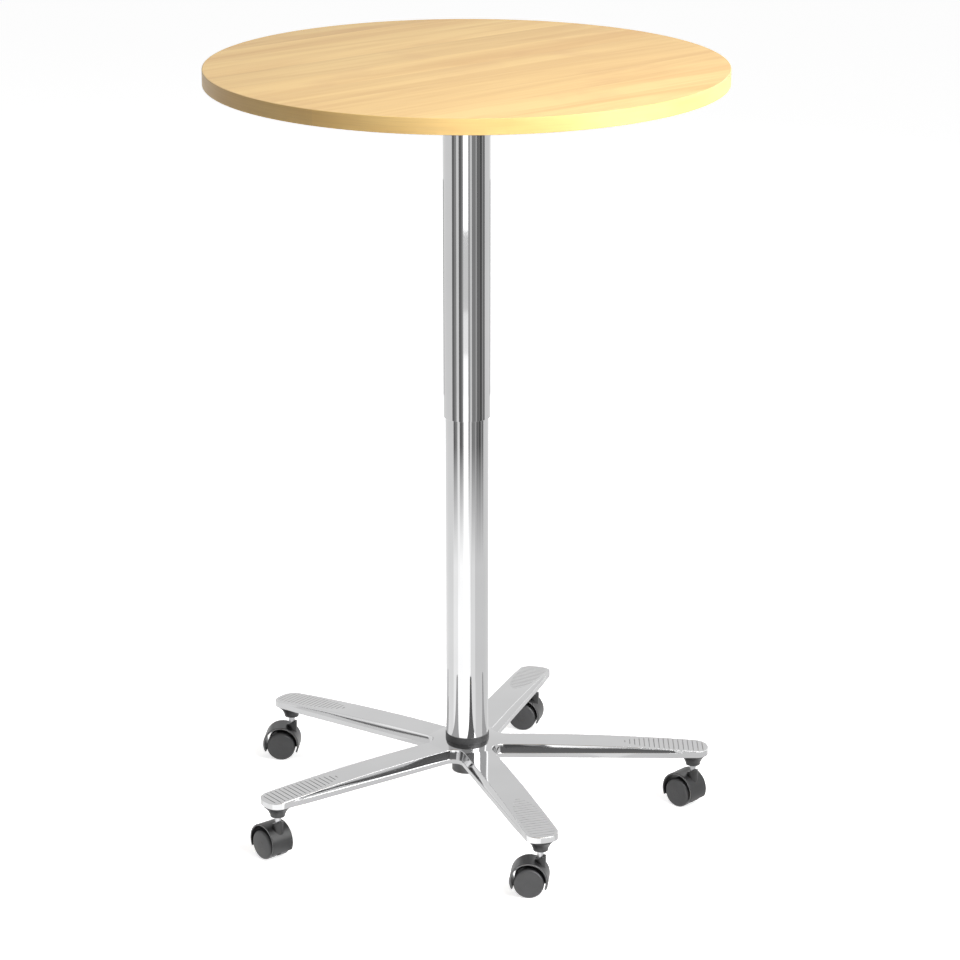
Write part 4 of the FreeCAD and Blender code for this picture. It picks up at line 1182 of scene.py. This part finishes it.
def build_stage(scene):
    s = scene.table_stage
    camera = bpy.data.objects.new("camera", bpy.data.cameras.new("camera"))
    scene.collection.objects.link(camera)
    camera.data.lens = s.lens
    camera.data.sensor_width = FILM_WIDTH
    camera.data.clip_end = 100.0
    camera.location = CAMERA_PLACE
    camera.rotation_euler = (CAMERA_TILT, 0, 0)
    scene.camera = camera
    scene.view_settings.view_transform = "Standard"
    build_floor()
    build_world(s.ambient)
    area_light("overhead", (1.15, -1.15, 2.15), (0, 0, 1.1), 1.2, s.overhead)
    area_light("front_right", (2.5, -1.7, 1.6), (0, 0, 0.7), 1.9, s.front)
    area_light("window", (2.4, 3.6, 2.6), (0.15, -0.1, 1.2), 2.2, s.window)
    end = s.cards / 100.0
    # The cards below glow and light nothing, and only polished surfaces show them: painted
    # reflections of a floor, stripes and a wall.
    card("painted_reflection_floor_near", -180, 180, (0.05, SECTOR_HEIGHT), (SECTOR_START, SECTOR_HEIGHT), 1.05)
    for number, (first, last, near_level) in enumerate(PAINTED_FLOOR_REFLECTIONS):
        card("painted_reflection_floor_sector_%02d" % number, first, last, (SECTOR_START, SECTOR_HEIGHT),
             (end, SECTOR_HEIGHT), 1.0, near_level)
    for number, (first, last, level) in enumerate(PAINTED_STRIPE_REFLECTIONS):
        near_level = next(near for _, stop, near in PAINTED_FLOOR_REFLECTIONS if last <= stop)
        card("painted_reflection_floor_stripe_%02d" % number, first, last, (STRIPE_START, STRIPE_HEIGHT),
             (end, STRIPE_HEIGHT), level, near_level, (1.25, 2.05))
    for number, (near, far, level) in enumerate(PAINTED_BRIGHT_REFLECTION):
        card("bright_stripe_%02d" % number, -17, 7, (near, STRIPE_HEIGHT), (far, STRIPE_HEIGHT),
             level)
    for number, (first, last, level) in enumerate(PAINTED_SIDE_REFLECTIONS):
        card("painted_reflection_side_card_%02d" % number, first, last, (2.4, STRIPE_HEIGHT), (2.4, 0.5), level)
    card("painted_reflection_front_wall", -34, 45, (end, 0.0), (end, 8.0), 0.60, 0.17, (end * 0.99, end * 1.24))


# ---- operators, panel and registration -----------------------------------------------

class TABLE_OT_materials(bpy.types.Operator):
    """Make the finishes of all the table's pieces"""

    bl_idname = "table.materials"
    bl_label = "Finishes"

    def execute(self, context):
        prepare_materials(context.scene)
        return {"FINISHED"}


class TABLE_OT_board(bpy.types.Operator):
    """Build the round board and its edge band"""

    bl_idname = "table.board"
    bl_label = "Board"

    def execute(self, context):
        build_board(context.scene)
        return {"FINISHED"}


class TABLE_OT_column(bpy.types.Operator):
    """Build the two chromed tubes and the ring at their foot"""

    bl_idname = "table.column"
    bl_label = "Column"

    def execute(self, context):
        build_column(context.scene)
        return {"FINISHED"}


class TABLE_OT_base(bpy.types.Operator):
    """Build the five-armed casting and the cup that clamps it"""

    bl_idname = "table.base"
    bl_label = "Base"

    def execute(self, context):
        build_base(context.scene)
        return {"FINISHED"}


class TABLE_OT_castors(bpy.types.Operator):
    """Build the castors with their sockets, stems, hoods and wheels"""

    bl_idname = "table.castors"
    bl_label = "Castors"

    def execute(self, context):
        build_castors(context.scene)
        return {"FINISHED"}


class TABLE_OT_plate(bpy.types.Operator):
    """Build the plate under the board and its screws"""

    bl_idname = "table.plate"
    bl_label = "Plate and screws"

    def execute(self, context):
        build_plate()
        return {"FINISHED"}


class TABLE_OT_lever(bpy.types.Operator):
    """Build the hand lever and its grip"""

    bl_idname = "table.lever"
    bl_label = "Hand lever"

    def execute(self, context):
        build_lever()
        return {"FINISHED"}


class TABLE_OT_inner(bpy.types.Operator):
    """Give the pieces inside the column their finishes"""

    bl_idname = "table.inner"
    bl_label = "Inner pieces"

    def execute(self, context):
        finish_inner_parts()
        return {"FINISHED"}


class TABLE_OT_stage(bpy.types.Operator):
    """Set up the camera, floor, lamps and the glowing cards of painted reflection"""

    bl_idname = "table.stage"
    bl_label = "Stage"

    def execute(self, context):
        build_stage(context.scene)
        return {"FINISHED"}


class TABLE_PT_panel(bpy.types.Panel):
    """Lists the table's building steps and sizes"""

    bl_idname = "TABLE_PT_panel"
    bl_label = "Standing table"
    bl_space_type = "VIEW_3D"
    bl_region_type = "UI"
    bl_category = "Table"

    def draw(self, context):
        for group in GROUPS:
            box = self.layout.box()
            settings = getattr(context.scene, "table_" + group)
            box.label(text=group.capitalize())
            for name in settings.bl_rna.properties.keys():
                if name not in ("rna_type", "name"):
                    box.prop(settings, name)
        for step in STEPS:
            self.layout.operator(step.bl_idname)


STEPS = (TABLE_OT_materials, TABLE_OT_board, TABLE_OT_column, TABLE_OT_base, TABLE_OT_castors,
         TABLE_OT_plate, TABLE_OT_lever, TABLE_OT_inner, TABLE_OT_stage)


def register():
    for name, group in GROUPS.items():
        bpy.utils.register_class(group)
        setattr(bpy.types.Scene, "table_" + name, PointerProperty(type=group))
    for step in STEPS:
        bpy.utils.register_class(step)
    bpy.utils.register_class(TABLE_PT_panel)


def unregister():
    bpy.utils.unregister_class(TABLE_PT_panel)
    for step in reversed(STEPS):
        bpy.utils.unregister_class(step)
    for name, group in GROUPS.items():
        delattr(bpy.types.Scene, "table_" + name)
        bpy.utils.unregister_class(group)


def main():
    register()
    bpy.ops.table.materials()
    bpy.ops.table.board()
    bpy.ops.table.column()
    bpy.ops.table.base()
    bpy.ops.table.castors()
    bpy.ops.table.plate()
    bpy.ops.table.lever()
    bpy.ops.table.inner()
    bpy.ops.table.stage()


if __name__ == "__main__":
    main()
